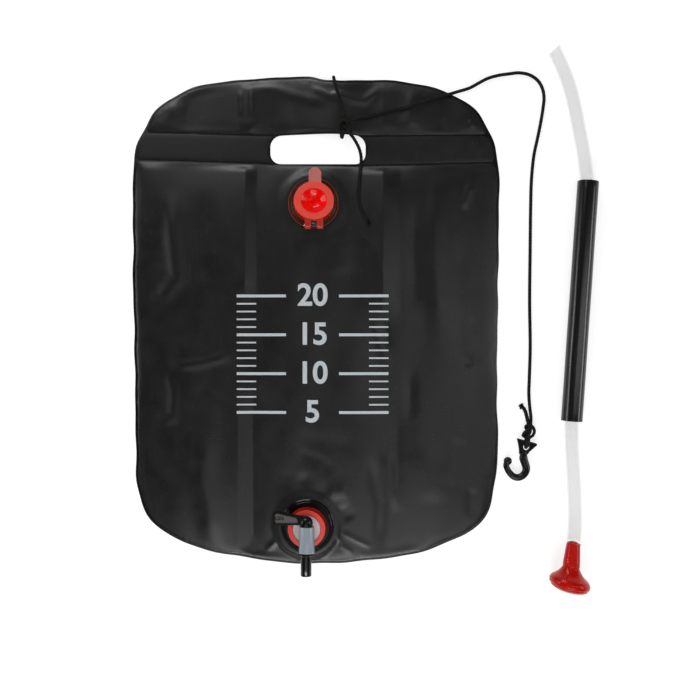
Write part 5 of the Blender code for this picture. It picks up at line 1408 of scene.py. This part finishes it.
def make_sleeve(settings):
    """The grip sleeve: a round tube with softly rounded ends and a faint draw along it."""
    top, foot = Vector((*SLEEVE_TOP, SLEEVE_R)), Vector((*SLEEVE_FOOT, SLEEVE_R))
    length = (foot - top).length
    turn = math.atan2(foot.x - top.x, top.y - foot.y)
    corners = [(SLEEVE_BORE_R, 0), (SLEEVE_R, 0), (SLEEVE_R, length), (SLEEVE_BORE_R, length)]
    rounded = soften(corners, 0.0005)
    rings = np.linspace(0.01, length - 0.01, 40)
    cut = len(rounded) // 2
    profile = np.concatenate([rounded[:cut], np.stack([np.full(40, SLEEVE_R), rings], axis=1), rounded[cut:]])

    def draw(angle, radius, height):
        wall = radius > (SLEEVE_BORE_R + SLEEVE_R) / 2
        return wall * (0.00005 * np.sin(3 * angle + 60 * height) - 0.00005)

    item = lathe("grip_sleeve_tube", profile, 64, toward_foot(top, turn), draw)
    finish = plastic("black_sleeve", settings.sleeve_colour, 0.21, 0.2, 700.0, 0.00002)
    seat(item, "grip_sleeve", finish, ["grip_sleeve"])


def head_place():
    """The shower head's frame: its origin at the hose's lip and local Z out of the face."""
    return toward_foot(HEAD_LIP, HEAD_TURN)


def leaned(item):
    """Leans the head's sections: sideways with the height, and the face with the side way."""
    place = head_place()
    item.data.transform(place.inverted())
    coords = np.empty(len(item.data.vertices) * 3)
    item.data.vertices.foreach_get("co", coords)
    x, y, z = coords.reshape(-1, 3).T
    amount = soft_step((z + 0.006) / 0.006)
    coords = np.stack([x + HEAD_SIDE_LEAN * z, y, z + HEAD_FACE_LEAN * x * amount], axis=1)
    item.data.vertices.foreach_set("co", coords.ravel())
    item.data.transform(place)
    item.data.set_sharp_from_angle(angle=SHARP_ANGLE)
    return item


def make_head(settings):
    """The red head: a tapered stem, a collar with a small ridge, a flaring bell with a rolled
    rim, and the domed rose with its spray holes."""
    # The head's lighter pink edges are a painted reflection of the pale surroundings, mixed into the colour by facing.
    finish = plastic("red_head", settings.head_colour, 0.17, 0.10, 500.0, 0.00002, shine=0.16,
                     edge=(0.70, 0.115, 0.085))
    height, radius = smooth_profile(BELL_SKIN, 80)
    seat_r = 0.0214
    stem_way = np.linspace(-STEM_LENGTH + 0.0005, -0.0004, 8)
    profile = np.concatenate([
        [(HEAD_BORE_R, -STEM_LENGTH), (0.0068, -STEM_LENGTH), (0.0071, -STEM_LENGTH + 0.0002)],
        np.stack([shown_stem(stem_way), stem_way], axis=1),
        np.stack([radius, height], axis=1),
        [(seat_r, 0.0232), (seat_r, 0.0178), (seat_r - BELL_WALL, 0.0178), (0.0165, 0.0142), (0.0120, 0.0102),
         (HEAD_BORE_R, BELL_WALL)],
    ])

    def rough_tip(angle, radius, height):
        tip = np.exp(-((height + STEM_LENGTH) / 0.0015) ** 2)
        return tip * 0.0004 * np.sin(3 * angle + 1) * (radius > HEAD_BORE_R + 0.0002)

    bell_piece = leaned(lathe("head_bell", profile, 96, head_place(), rough_tip))
    seat(bell_piece, "hose_set", finish, ["shower_head"])
    lumps = []
    for x, y, size in ((-0.0024, 0.0015, 0.0027), (0.0017, 0.0008, 0.0024), (0.0004, -0.0030, 0.0022)):
        at = head_place() @ Matrix.Translation((x, y, -STEM_LENGTH))
        lumps.append(leaned(lathe("lump", arc(0, 0, size, -90, 90, 12), 24, at @ Matrix.Diagonal((1.25, 1, 0.75, 1)),
                                  closed=False)))
    seat(joined("head_stem_flash", lumps), "hose_set", finish)
    height, radius = smooth_profile(ROSE_SKIN, 40)
    skin_line = np.stack([radius, height], axis=1)
    hollow = skin_line[::-1] - (0.0, ROSE_T)
    rose = leaned(lathe("head_rose", np.concatenate([skin_line, hollow]), 96, head_place()))
    holes = []
    for reach, count in ((0.0, 1), (0.0072, 6), (0.0140, 12)):
        for k in range(count):
            turn = TAU * (k + reach * 100) / count
            at = Matrix.Translation((reach * math.cos(turn), reach * math.sin(turn), 0))
            bar = [(0, 0.024), (0.0008, 0.024), (0.0008, 0.034), (0, 0.034)]
            holes.append(lathe("hole", bar, 10, head_place() @ at))
    rose = cut_away(rose, joined("holes", holes))
    seat(rose, "hose_set", finish, ["rose_plate"])


def make_hook(settings):
    """The moulded hook: a barbed head plate with the cord's eye, a round tapering bow and a ball
    tip, run together as one casting by a fine voxel skin that is then smoothed."""
    head = soften([(HOOK_HEAD * x, HOOK_HEAD * y) for x, y in HOOK_HEAD_SHARES], 0.0008)
    plate = stack("hook_plate", head, rounded_levels(0, HOOK_HEAD_T, 0.0007),
                  Matrix.Translation((EYE_X, EYE_Y, HOOK_HEAD_LOW_Z)))
    hole = [(0, -0.002), (EYE_R, -0.002), (EYE_R, 0.008), (0, 0.008)]
    tool = lathe("eye", hole, 32, Matrix.Translation((EYE_X, EYE_Y, HOOK_HEAD_LOW_Z)))
    line = [(EYE_X + HOOK_DROP * x, EYE_Y + HOOK_DROP * y, HOOK_SHANK_R) for x, y in HOOK_LINE_SHARES]
    points = smooth_route(line, 0.0012)
    widths = np.linspace(HOOK_SHANK_R, HOOK_TIP_R, len(points))
    widths *= 0.62 + 0.38 * soft_step(np.arange(len(points)) / 6)
    bow = tube("bow", points, widths, 32)
    ball = arc(0, 0, HOOK_BALL_R, -90, 90, 20)
    x, y = (HOOK_DROP * share for share in HOOK_BALL_SHARES)
    ball = lathe("ball", ball, 36, Matrix.Translation((EYE_X + x, EYE_Y + y, HOOK_SHANK_R)), closed=False)
    hook = joined("moulded_hook", [plate, bow, ball])
    fine = hook.modifiers.new("Run together", "REMESH")
    fine.mode = "VOXEL"
    fine.voxel_size = 0.00034
    even = hook.modifiers.new("Even out", "SMOOTH")
    even.factor = 0.5
    even.iterations = 5
    hook = cut_away(baked(hook), tool)
    finish = plastic("black_hook", settings.hook_colour, 0.16, 0.2, 650.0, 0.00002, shine=0.32)
    seat(hook, "hook", finish, ["hook"])


def ridged(radius, rings):
    """Height of small round ridges at given radii: each is a height times a squared exponential."""
    return sum(height * np.exp(-((radius - at) / width) ** 2) for at, width, height in rings)


def make_filler(settings):
    """The filler: ridged flange and neck, hinge knuckle, and the flip cap with its bowl, thin
    ribbed tab and two hinge lugs. The bowl follows its table of shares."""
    place = Matrix.Translation((FILLER_X, FILLER_Y, SEAT_Z))
    cap_place = Matrix.Translation((FILLER_X + CAP_SHIFT_X, FILLER_Y + 0.0011, SEAT_Z)) @ Matrix.Diagonal((1, 0.94, 1, 1))
    tab_place = Matrix.Translation((FILLER_X + 0.0021, FILLER_Y, SEAT_Z))
    plug_r = 0.0147
    dark = plastic("dark_red_filler", settings.filler_colour, 0.24, 0.30, 420.0, 0.00003, shine=0.3)
    # The collar's red is partly its own and partly painted shade: it is darker than the cap's red to show the shaded
    # skirt under the ring.
    deep = plastic("collar_red_painted_shade", (0.46, 0.007, 0.003), 0.25, 0.15, 500.0, 0.00003, coat=0.2)
    # A lighter red bead along the flange's outer edge.
    rim_red = plastic("lighter_red_rim", (0.17, 0.036, 0.018), 0.30, 0.25, 500.0, 0.00003, shine=0.25)
    lug_red = plastic("red_lugs", (0.42, 0.024, 0.011), 0.26, 0.15, 500.0, 0.00003, shine=0.35)
    red = plastic("red_cap", settings.cap_colour, 0.36, 0.05, 700.0, 0.00003, coat=0.15)
    glossy = plastic("red_bowl", (0.90, 0.0016, 0.0002), 0.16, 0.02, 700.0, 0.00001, shine=0.22)
    pale = plastic("pale_tab", settings.tab_colour, 0.45, 0.10, 900.0, 0.00004)
    smoke = plastic("smoke_knuckle", (0.022, 0.018, 0.016), 0.34, 0.3, 500.0, 0.00003, shine=0.3)
    rings = ((0.0280, 0.0006, 0.0004), (0.0247, 0.0005, 0.00045), (0.0228, 0.0004, 0.0003), (0.0207, 0.0005, 0.0004))
    radius = np.linspace(FILLER_FLANGE_R - 0.0003, FILLER_NECK_R + 0.0004, 60)
    top = np.stack([radius, 0.0011 + ridged(radius, rings)], axis=1)
    neck = np.stack([FILLER_NECK_R + ridged(np.linspace(0.002, 0.0098, 30), ((0.0055, 0.0005, 0.0003),
                                                                            (0.0080, 0.0004, 0.00025))),
                     np.linspace(0.002, 0.0098, 30)], axis=1)
    profile = np.concatenate([[(FILLER_BORE_R, 0), (FILLER_FLANGE_R - 0.0002, 0), (FILLER_FLANGE_R, 0.0003),
                               (FILLER_FLANGE_R, 0.0009)], top, neck,
                              [(FILLER_NECK_R - 0.0003, FILLER_NECK_H), (FILLER_BORE_R, FILLER_NECK_H)]])
    base = lathe("filler_flange", profile, 128, place)
    seat(base, "bag", dark, ["filler_base"])
    edge = FILLER_FLANGE_R - 0.0007
    bead = lathe("filler_rim_bead", arc(edge, 0.0013, 0.00065, -180, 162, 18), 128, place)
    seat(bead, "bag", rim_red)
    wall = soften([(FILLER_NECK_R + 0.0002, 0.0010), (0.0229, 0.0010), (0.0223, 0.0050), (0.0215, 0.0101),
                   (FILLER_NECK_R + 0.0002, 0.0101)], (0.0001, 0.0003, 0.001, 0.0006, 0.0001))
    collar = lathe("filler_collar", wall, 112, place)
    seat(collar, "bag", deep)
    half = LUG_GAP / 2 - 0.0003
    outline = np.concatenate([arc(0, 0, 0.0036, 75, 180, 10), [(-0.0018, -0.0078), (0.0085, -0.0078),
                                                              (0.0085, -0.0025)]])
    knuckle = stack("filler_knuckle", outline, rounded_levels(0, 2 * half, 0.0004),
                    along_x((FILLER_X + CAP_SHIFT_X - half, FILLER_Y - HINGE_REACH, SEAT_Z + PIN_H)))
    seat(knuckle, "bag", smoke)
    depth, radius = smooth_profile([(share * BOWL_DEPTH, reach * BOWL_R) for reach, share in BOWL_SHARES], 40)
    bowl = np.stack([np.maximum(radius, 0), CAP_HIGH - depth], axis=1)
    cap = soften([(PLUG_R - 0.0002, CAP_LOW), (CAP_RING_R, CAP_LOW), (CAP_RING_R, CAP_HIGH),
                  (BOWL_R + 0.0002, CAP_HIGH)], (0.0001, 0.0005, 0.0007, 0.0005))
    ring = lathe("cap_ring", cap, 112, cap_place)
    seat(ring, "filler_cap", red, ["filler_cap"])
    cup = np.concatenate([bowl, [(BOWL_R + 0.0004, CAP_HIGH - 0.0006), (PLUG_R, CAP_LOW + 0.0010), (plug_r, CAP_LOW)],
                          soften([(plug_r, CAP_LOW), (plug_r, CAP_LOW - 0.0062), (0, CAP_LOW - 0.0062)],
                                 (0.0001, 0.0008, 0.0))[4:-1], [(0, CAP_LOW - 0.0062)]])
    cup = lathe("cap_bowl", cup, 96, cap_place)
    seat(cup, "filler_cap", glossy)
    end = CAP_RING_R + TAB_LENGTH - TAB_WIDTH / 2 - 0.0011
    shape = np.concatenate([arc(0, end, TAB_WIDTH / 2, 0, 180, 28),
                            np.stack([np.full(12, -TAB_WIDTH / 2), np.linspace(end - 0.001, 0.0205, 12)], axis=1),
                            np.stack([np.full(12, TAB_WIDTH / 2), np.linspace(0.0205, end - 0.001, 12)], axis=1)])
    low = CAP_LOW + 0.0003
    tab = stack("cap_tab", shape, [(0.0003, low), (0, low + 0.0003), (0, low + 0.0013), (0.0002, low + 0.0016),
                                   (0.0009, low + 0.0016), (0.0012, low + 0.0010)], tab_place)
    seat(tab, "filler_cap", pale)
    ribs = []
    for k in range(11):
        y = 0.0230 + 0.0014 * k
        wide = min(TAB_WIDTH / 2 - 0.0015, math.sqrt(max((TAB_WIDTH / 2 - 0.0014) ** 2 - max(y - end, 0) ** 2, 1e-8)))
        bar = soften([(-wide, y - 0.00035), (wide, y - 0.00035), (wide, y + 0.00035), (-wide, y + 0.00035)], 0.0002, 2)
        ribs.append(stack("rib", bar, [(0, low + 0.0008), (0, low + 0.0012), (0.00015, low + 0.0014)], tab_place))
    seat(joined("cap_tab_ribs", ribs), "filler_cap", pale)
    lugs = []
    web = 0.0026
    angle = math.degrees(math.asin(web / LUG_R))
    outline = np.concatenate([arc(0, 0, LUG_R, 90, 360 + angle, 24), [(0.0082, web), (0.0082, LUG_R)]])
    for side in (-1, 1):
        start = FILLER_X + CAP_SHIFT_X + side * (LUG_GAP + LUG_WIDTH) / 2 - LUG_WIDTH / 2
        lugs.append(stack("lug", outline, rounded_levels(0, LUG_WIDTH, 0.0006),
                          along_x((start, FILLER_Y - HINGE_REACH - 0.0003, SEAT_Z + PIN_H))))
    seat(joined("cap_lugs", lugs), "filler_cap", lug_red)
    steel = plastic("pin_steel", (0.45, 0.45, 0.45), 0.3, 0.1, 600.0)
    steel.node_tree.nodes["Principled BSDF"].inputs["Metallic"].default_value = 1.0
    pin = bpy.data.objects["filler_hinge_pin"]
    pin.data.materials.clear()
    pin.data.materials.append(steel)


def make_tap(settings):
    """The tap: ridged flange, ribbed ring nut, pale disc, oval stem, round barrel, and the
    turning core with its dome, recessed lever and hose nipple."""
    place = Matrix.Translation((TAP_X, TAP_Y, SEAT_Z))
    black = plastic("black_tap", settings.black_colour, 0.14, 0.2, 600.0, 0.00002, shine=0.28)
    # The nut's side wall takes a darker copy of the nut's red: painted shade where the wall faces away from the lamps.
    red = plastic("red_nut_wall_painted_shade", (0.38, 0.012, 0.004), 0.24, 0.30, 380.0, 0.00006, shine=0.35)
    light_red = plastic("red_nut_face", settings.nut_colour, 0.40, 0.06, 800.0, 0.00004)
    # Pale grey disc with a pink tint that is painted reflection of the red nut.
    pale = plastic("pale_disc", settings.disc_colour, 0.42, 0.05, 900.0, 0.00003)
    grey = plastic("grey_barrel", settings.barrel_colour, 0.20, 0.06, 700.0, 0.00002, coat=0.35)
    rings = ((0.0292, 0.0006, 0.0007), (0.0268, 0.0005, 0.0005), (0.0240, 0.0006, 0.0016), (0.0226, 0.0004, 0.0012))
    radius = np.linspace(TAP_FLANGE_R - 0.0003, TAP_NECK_R + 0.0006, 70)
    floor = 0.0011 + 0.0016 * soft_step((TAP_STEP_R - radius) / 0.0006) * (radius > 0.0221)
    top = np.stack([radius, np.minimum(floor + ridged(radius, rings[:2]), 0.0033)], axis=1)
    profile = np.concatenate([[(TAP_BORE_R, 0), (TAP_FLANGE_R - 0.0002, 0), (TAP_FLANGE_R, 0.0003),
                               (TAP_FLANGE_R, 0.0010)], top,
                              [(TAP_NECK_R - 0.0002, 0.0030), (TAP_NECK_R - 0.0002, 0.0115),
                               (TAP_BORE_R, 0.0117)]])
    flange = lathe("tap_ring_flange", profile, 128, place)
    seat(flange, "bag", black, ["tap_flange"])
    face_r = 0.0208
    outer = soften([(TAP_NECK_R + 0.0002, NUT_LOW), (0.0226, NUT_LOW), (face_r, NUT_TOP - 0.0006), (0.0156, NUT_TOP),
                    (0.0156, NUT_TOP - 0.0021), (TAP_NECK_R + 0.0002, NUT_TOP - 0.0023)],
                   (0.0001, 0.0003, 0.0007, 0.0003, 0.0001, 0.0001))
    high = np.linspace(NUT_LOW + 0.001, NUT_TOP - 0.0016, 10)
    wall = np.stack([0.0226 + (face_r - 0.0226) * (high - NUT_LOW) / (NUT_TOP - NUT_LOW), high], axis=1)
    profile = np.concatenate([outer[:10], wall, outer[10:]])

    def grips(angle, radius, height):
        side = (radius > face_r - 0.0002) & (height < NUT_TOP - 0.001)
        return side * (0.00022 * np.cos(48 * angle) - 0.00022)

    nut = lathe("tap_ring_nut", profile, 384, place, grips)
    seat(nut, "bag", red, ["tap_nut"])
    # Only the upper faces get the nut's own red; the rest keep the darker copy as painted shade.
    nut.data.materials.append(light_red)
    middles = np.array([tuple(face.center) for face in nut.data.polygons])
    upper = (middles[:, 2] > SEAT_Z + NUT_TOP - 0.0009).astype(np.int32)
    nut.data.polygons.foreach_set("material_index", upper)
    disc = soften([(0, DISC_LOW), (0.0172, DISC_LOW), (0.0172, DISC_LOW + 0.0022), (0.0152, DISC_LOW + 0.0022),
                   (0.0152, DISC_TOP), (0, DISC_TOP)], (0, 0.0003, 0.0003, 0.0001, 0.0006, 0))
    disc = disc[(disc[:, 0] > 0) | (np.arange(len(disc)) % 5 == 0)]
    disc = lathe("tap_disc", disc, 96, place)
    seat(disc, "bag", pale, ["tap_body"])
    top_y = BARREL_TOP_Y - 0.0041 - 0.00045
    outline = np.concatenate([arc(0, 0, 0.0041, 0, 180, 14), arc(0, -0.0083, 0.0041, 180, 360, 14)])
    low = SEAT_Z + DISC_TOP - 0.0009
    stem = stack("tap_stem", outline, [(0, 0), (0.0002, 0.003), (0, BARREL_Z - low)],
                 Matrix.Translation((TAP_X, top_y, low)))
    seat(stem, "bag", grey)
    bore, foot = 0.0072, BARREL_LENGTH - 0.0016
    barrel = soften([(bore, -0.0009), (0.0081, -0.0009), (0.0088, foot), (bore, foot)], (0.0002, 0.0005, 0.0018, 0.0002))
    barrel = lathe("tap_barrel", barrel, 96, toward_foot((TAP_X + 0.0008, BARREL_TOP_Y, BARREL_Z)))
    seat(barrel, "bag", grey)
    straight = CORE_DOME_LENGTH - CORE_DOME_R
    dome = arc(0, -straight, 0.0074, -90, 0, 20)
    bead = BARREL_LENGTH + 0.0003
    end = CORE_LENGTH - 0.0009
    shaft = [(0.0074, -0.0014), (0.0072, -0.0010), (CORE_SHAFT_R, -0.0003), (CORE_SHAFT_R, bead),
             (0.0067, bead + 0.0001), (0.0067, bead + 0.0010), (CORE_SHAFT_R, bead + 0.0018),
             (CORE_SHAFT_R, end - 0.0007), (CORE_SHAFT_R - 0.0005, end),
             (CORE_BORE_R + 0.0003, end), (CORE_BORE_R, end - 0.0005), (CORE_BORE_R, 0.005), (0, 0.005)]
    core = lathe("tap_core_plug", np.concatenate([dome, shaft]), 64,
                 toward_foot((TAP_X, BARREL_TOP_Y, BARREL_Z)))
    seat(core, "tap_core", black, ["tap_core"])
    make_lever(black)
    rubber = plastic("washer_rubber", (0.02, 0.02, 0.02), 0.6, 0.2, 900.0)
    washer = bpy.data.objects["tap_washer"]
    washer.data.materials.clear()
    washer.data.materials.append(rubber)


def make_lever(black):
    """The core's lever: a tapering plate with a raised rim round a matt recessed face, a small
    step at its root and the word ON standing in the recess."""
    matt = plastic("matt_lever_face", (0.072, 0.068, 0.065), 0.45, 0.1, 900.0, 0.00004)
    half = LEVER_THICKNESS / 2
    tip, root = LEVER_FOOT + LEVER_TIP_HEIGHT, LEVER_FOOT + LEVER_ROOT_HEIGHT
    place = Matrix.Translation((TAP_X, BARREL_TOP_Y, BARREL_Z))
    outline = soften([(-0.0034, LEVER_FOOT), (-0.0034, root), (-CORE_DOME_R, root),
                      (LEVER_CHAMFER - LEVER_LENGTH, tip), (-LEVER_LENGTH, tip - LEVER_CHAMFER),
                      (-LEVER_LENGTH, LEVER_FOOT + LEVER_CHAMFER), (LEVER_CHAMFER - LEVER_LENGTH, LEVER_FOOT)],
                     (0.0005, 0.0005, 0.004, 0.0022, 0.0022, 0.0022, 0.0022))[::-1]
    body = stack("tap_lever", outline, rounded_levels(-half, half - 0.0007, 0.0005)[:-3], place)
    seat(body, "tap_core", black)
    face = soften([(-0.0098, LEVER_FOOT + 0.0015), (-0.0085, root * 0.55), (-0.0106, root - 0.0012),
                   (LEVER_CHAMFER - LEVER_LENGTH + 0.0010, tip - 0.0019),
                   (-LEVER_LENGTH + 0.0019, tip - LEVER_CHAMFER - 0.0007),
                   (-LEVER_LENGTH + 0.0019, LEVER_FOOT + LEVER_CHAMFER + 0.0007),
                   (LEVER_CHAMFER - LEVER_LENGTH + 0.0010, LEVER_FOOT + 0.0015)], 0.0010)[::-1]
    rim = rim_between("tap_lever_rim", outline, face, half - 0.0011, half, place)
    seat(rim, "tap_core", black)
    floor = stack("tap_lever_face", inset_outline(face, -0.0001), [(0, half - 0.0013), (0, half - 0.0006)], place)
    seat(floor, "tap_core", matt)
    word = flat_text("ON", 0.0058, 0.00012)
    word.data.transform(place @ Matrix.Translation((-0.0292, LEVER_FOOT + 0.0068, half - 0.0007)))
    wall = word.modifiers.new("Thickness", "SOLIDIFY")
    wall.thickness = 0.0004
    wall.offset = 1.0
    word.name = "tap_lever_word"
    seat(word, "tap_core", black)


def rim_between(name, outer, inner, low, high, place):
    """A flat-topped rim between an outer and an inner outline, with softened upper edges."""
    steps = 120
    outer, inner = even_from_left(outer, steps), even_from_left(inner, steps)
    rows = [(inner, low, 0), (outer, low, 0), (outer, high - 0.0004, 0), (inset_outline(outer, 0.0001), high - 0.0001, 0),
            (inset_outline(outer, 0.0004), high, 0), (inset_outline(inner, -0.0003), high, 0), (inner, high - 0.0002, 0)]
    grid = np.array([np.column_stack([row, np.full(steps, height)]) for row, height, _ in rows])
    item = skin(name, grid, along=True)
    item.data.transform(place)
    return item


def even_from_left(loop, count):
    """A closed outline in a set number of even steps, starting at its leftmost point."""
    start = loop[:, 0].argmin()
    closed = np.concatenate([loop[start:], loop[:start + 1]])
    lengths = np.concatenate([[0], np.cumsum(np.linalg.norm(np.diff(closed, axis=0), axis=1))])
    even = np.arange(count) * lengths[-1] / count
    return np.stack([np.interp(even, lengths, closed[:, k]) for k in range(2)], axis=1)


def make_floor():
    """A plain pale floor that shows white to the camera and in reflections, with a soft shadow."""
    mesh = bpy.data.meshes.new("floor")
    reach = 4.0
    mesh.from_pydata([(-reach, -reach, 0), (reach, -reach, 0), (reach, reach, 0), (-reach, reach, 0)],
                     [], [(0, 1, 2, 3)])
    item = bpy.data.objects.new("floor", mesh)
    item.location.z = -0.0002
    bpy.context.scene.collection.objects.link(item)
    made, tree, shader = new_material("pale_floor")
    shader.inputs["Base Color"].default_value = (0.45, 0.45, 0.45, 1)
    shader.inputs["Roughness"].default_value = 0.9
    shader.inputs["Specular IOR Level"].default_value = 0.0
    path = add_node(tree, "ShaderNodeLightPath")
    seen = add_node(tree, "ShaderNodeMath", operation="MAXIMUM")
    tree.links.new(path.outputs["Is Camera Ray"], seen.inputs[0])
    tree.links.new(path.outputs["Is Glossy Ray"], seen.inputs[1])
    shown = add_node(tree, "ShaderNodeMath", operation="MAXIMUM")
    tree.links.new(seen.outputs["Value"], shown.inputs[0])
    tree.links.new(path.outputs["Is Transmission Ray"], shown.inputs[1])
    glow = add_node(tree, "ShaderNodeMath", operation="MULTIPLY")
    glow.inputs[1].default_value = 0.72
    tree.links.new(shown.outputs["Value"], glow.inputs[0])
    shader.inputs["Emission Color"].default_value = (1, 1, 1, 1)
    tree.links.new(glow.outputs["Value"], shader.inputs["Emission Strength"])
    item.data.materials.append(made)


def make_lamp(name, place, size, power):
    """One rectangular softbox that faces the middle of the object."""
    lamp = bpy.data.lights.new(name, "AREA")
    lamp.shape = "RECTANGLE"
    lamp.size, lamp.size_y = size
    lamp.energy = power
    item = bpy.data.objects.new(name, lamp)
    item.location = place
    item.rotation_euler = (Vector((0.04, 0, 0)) - Vector(place)).to_track_quat("-Z", "Y").to_euler()
    bpy.context.scene.collection.objects.link(item)


# Softboxes: (name, place, width and height, power in watts)
LAMPS = (
    ("foot_glow", (0.10, -0.75, 1.05), (1.10, 0.70), 2.8),
    ("side_glow", (0.80, 0.00, 1.35), (0.35, 1.40), 2.7),
    ("head_glow", (-0.10, 0.90, 1.10), (1.00, 0.40), 0.6),
    ("strip_glow", (-0.42, 0.62, 1.10), (0.35, 0.25), 0.45),
    ("head_key", (-0.35, 1.15, 0.60), (0.90, 0.35), 7.0),
    ("foot_key", (0.00, -1.10, 0.85), (0.70, 0.12), 5.5),
    ("left_key", (-1.20, 0.00, 0.50), (0.80, 0.35), 4.0),
    ("right_key", (1.50, -0.10, 0.60), (0.80, 0.35), 4.5),
    ("top_strip", (-0.03, 0.00, 1.35), (0.03, 1.00), 0.14),
)


def make_stage(settings):
    """The camera straight above the photograph's middle, the softboxes, the sky and the floor.
    The sky is white at the horizon, falls to its level at 8 degrees and to a third overhead."""
    scene = bpy.context.scene
    camera = bpy.data.cameras.new("camera")
    camera.lens = settings.lens
    camera.sensor_width = 36
    camera.clip_start = 0.01
    item = bpy.data.objects.new("camera", camera)
    item.location = (*PHOTO_MIDDLE, settings.camera_height)
    scene.collection.objects.link(item)
    scene.camera = item
    for name, place, size, power in LAMPS:
        make_lamp(name, place, size, power * settings.lamp_power)
    world = bpy.data.worlds.new("surroundings")
    world.use_nodes = True
    tree = world.node_tree
    sky = tree.nodes["Background"]
    way = add_node(tree, "ShaderNodeSeparateXYZ")
    tree.links.new(add_node(tree, "ShaderNodeTexCoord").outputs["Generated"], way.inputs["Vector"])
    rim = add_node(tree, "ShaderNodeMapRange", {"From Min": 0.0, "From Max": 0.14, "To Min": 1.0, "To Max": 0.0})
    dome = add_node(tree, "ShaderNodeMapRange", {"From Min": 0.14, "From Max": 0.90, "To Min": settings.sky_level,
                                                 "To Max": settings.sky_level * 0.3})
    path = add_node(tree, "ShaderNodeLightPath")
    shown = path.outputs["Is Camera Ray"]
    for part in (rim, dome):
        tree.links.new(way.outputs["Z"], part.inputs["Value"])
        most = add_node(tree, "ShaderNodeMath", operation="MAXIMUM")
        tree.links.new(shown, most.inputs[0])
        tree.links.new(part.outputs["Result"], most.inputs[1])
        shown = most.outputs["Value"]
    sky.inputs["Color"].default_value = (1, 1, 1, 1)
    tree.links.new(shown, sky.inputs["Strength"])
    scene.world = world
    scene.view_settings.view_transform = "Standard"
    make_floor()


class SHOWERBAG_OT_stage(Operator):
    """Makes the camera, the lamps, the sky and the floor."""

    bl_idname = "showerbag.stage"
    bl_label = "Stage"

    def execute(self, context):
        make_stage(context.scene.showerbag_stage)
        return {"FINISHED"}


class SHOWERBAG_OT_cords(Operator):
    """Makes the hanging cord with its knots and frayed ends."""

    bl_idname = "showerbag.cords"
    bl_label = "Hanging cord"

    def execute(self, context):
        make_cords(context.scene.showerbag_cord)
        return {"FINISHED"}


class SHOWERBAG_OT_hook(Operator):
    """Makes the moulded hook."""

    bl_idname = "showerbag.hook"
    bl_label = "Hook"

    def execute(self, context):
        make_hook(context.scene.showerbag_cord)
        return {"FINISHED"}


class SHOWERBAG_OT_films(Operator):
    """Makes the bag's front and back films."""

    bl_idname = "showerbag.films"
    bl_label = "Films"

    def execute(self, context):
        make_films(context.scene.showerbag_film)
        return {"FINISHED"}


class SHOWERBAG_OT_print(Operator):
    """Makes the printed fill scale."""

    bl_idname = "showerbag.fill_scale"
    bl_label = "Fill scale"

    def execute(self, context):
        make_print(context.scene.showerbag_film)
        return {"FINISHED"}


class SHOWERBAG_OT_filler(Operator):
    """Makes the filler and its flip cap."""

    bl_idname = "showerbag.filler"
    bl_label = "Filler"

    def execute(self, context):
        make_filler(context.scene.showerbag_fitting)
        return {"FINISHED"}


class SHOWERBAG_OT_tap(Operator):
    """Makes the tap and its turning core."""

    bl_idname = "showerbag.tap"
    bl_label = "Tap"

    def execute(self, context):
        make_tap(context.scene.showerbag_fitting)
        return {"FINISHED"}


class SHOWERBAG_OT_sleeve(Operator):
    """Makes the grip sleeve on the hose."""

    bl_idname = "showerbag.sleeve"
    bl_label = "Grip sleeve"

    def execute(self, context):
        make_sleeve(context.scene.showerbag_hose)
        return {"FINISHED"}


class SHOWERBAG_OT_head(Operator):
    """Makes the shower head and its rose."""

    bl_idname = "showerbag.head"
    bl_label = "Shower head"

    def execute(self, context):
        make_head(context.scene.showerbag_hose)
        return {"FINISHED"}


class SHOWERBAG_OT_hose(Operator):
    """Makes the clear hose."""

    bl_idname = "showerbag.hose"
    bl_label = "Hose"

    def execute(self, context):
        make_hose(context.scene.showerbag_hose)
        return {"FINISHED"}


class SHOWERBAG_PT_pieces(Panel):
    """Lists the pieces of the shower bag and the settings they are made with."""

    bl_idname = "SHOWERBAG_PT_pieces"
    bl_label = "Camp shower bag"
    bl_space_type = "VIEW_3D"
    bl_region_type = "UI"
    bl_category = "Shower bag"

    def draw(self, context):
        column = self.layout.column()
        for operator in OPERATORS:
            column.operator(operator.bl_idname)
        for group in GROUPS:
            settings = getattr(context.scene, group)
            for key in settings.__annotations__:
                column.prop(settings, key)


OPERATORS = (
    SHOWERBAG_OT_stage, SHOWERBAG_OT_cords, SHOWERBAG_OT_sleeve, SHOWERBAG_OT_head,
    SHOWERBAG_OT_hose, SHOWERBAG_OT_films, SHOWERBAG_OT_print, SHOWERBAG_OT_filler,
    SHOWERBAG_OT_tap, SHOWERBAG_OT_hook,
)
GROUPS = {
    "showerbag_film": FilmSettings, "showerbag_cord": CordSettings,
    "showerbag_fitting": FittingSettings, "showerbag_hose": HoseSettings,
    "showerbag_stage": StageSettings,
}


def register():
    """Registers the settings, the operators and the panel."""
    for settings in GROUPS.values():
        bpy.utils.register_class(settings)
    for kind in (*OPERATORS, SHOWERBAG_PT_pieces):
        bpy.utils.register_class(kind)
    for group, settings in GROUPS.items():
        setattr(bpy.types.Scene, group, PointerProperty(type=settings))


def unregister():
    """Takes away what register added."""
    for group in GROUPS:
        delattr(bpy.types.Scene, group)
    for kind in (SHOWERBAG_PT_pieces, *OPERATORS[::-1], *GROUPS.values()):
        bpy.utils.unregister_class(kind)


def main():
    """Registers the add-on and makes every piece in order."""
    register()
    for operator in OPERATORS:
        space, action = operator.bl_idname.split(".")
        getattr(getattr(bpy.ops, space), action)()


if __name__ == "__main__":
    main()
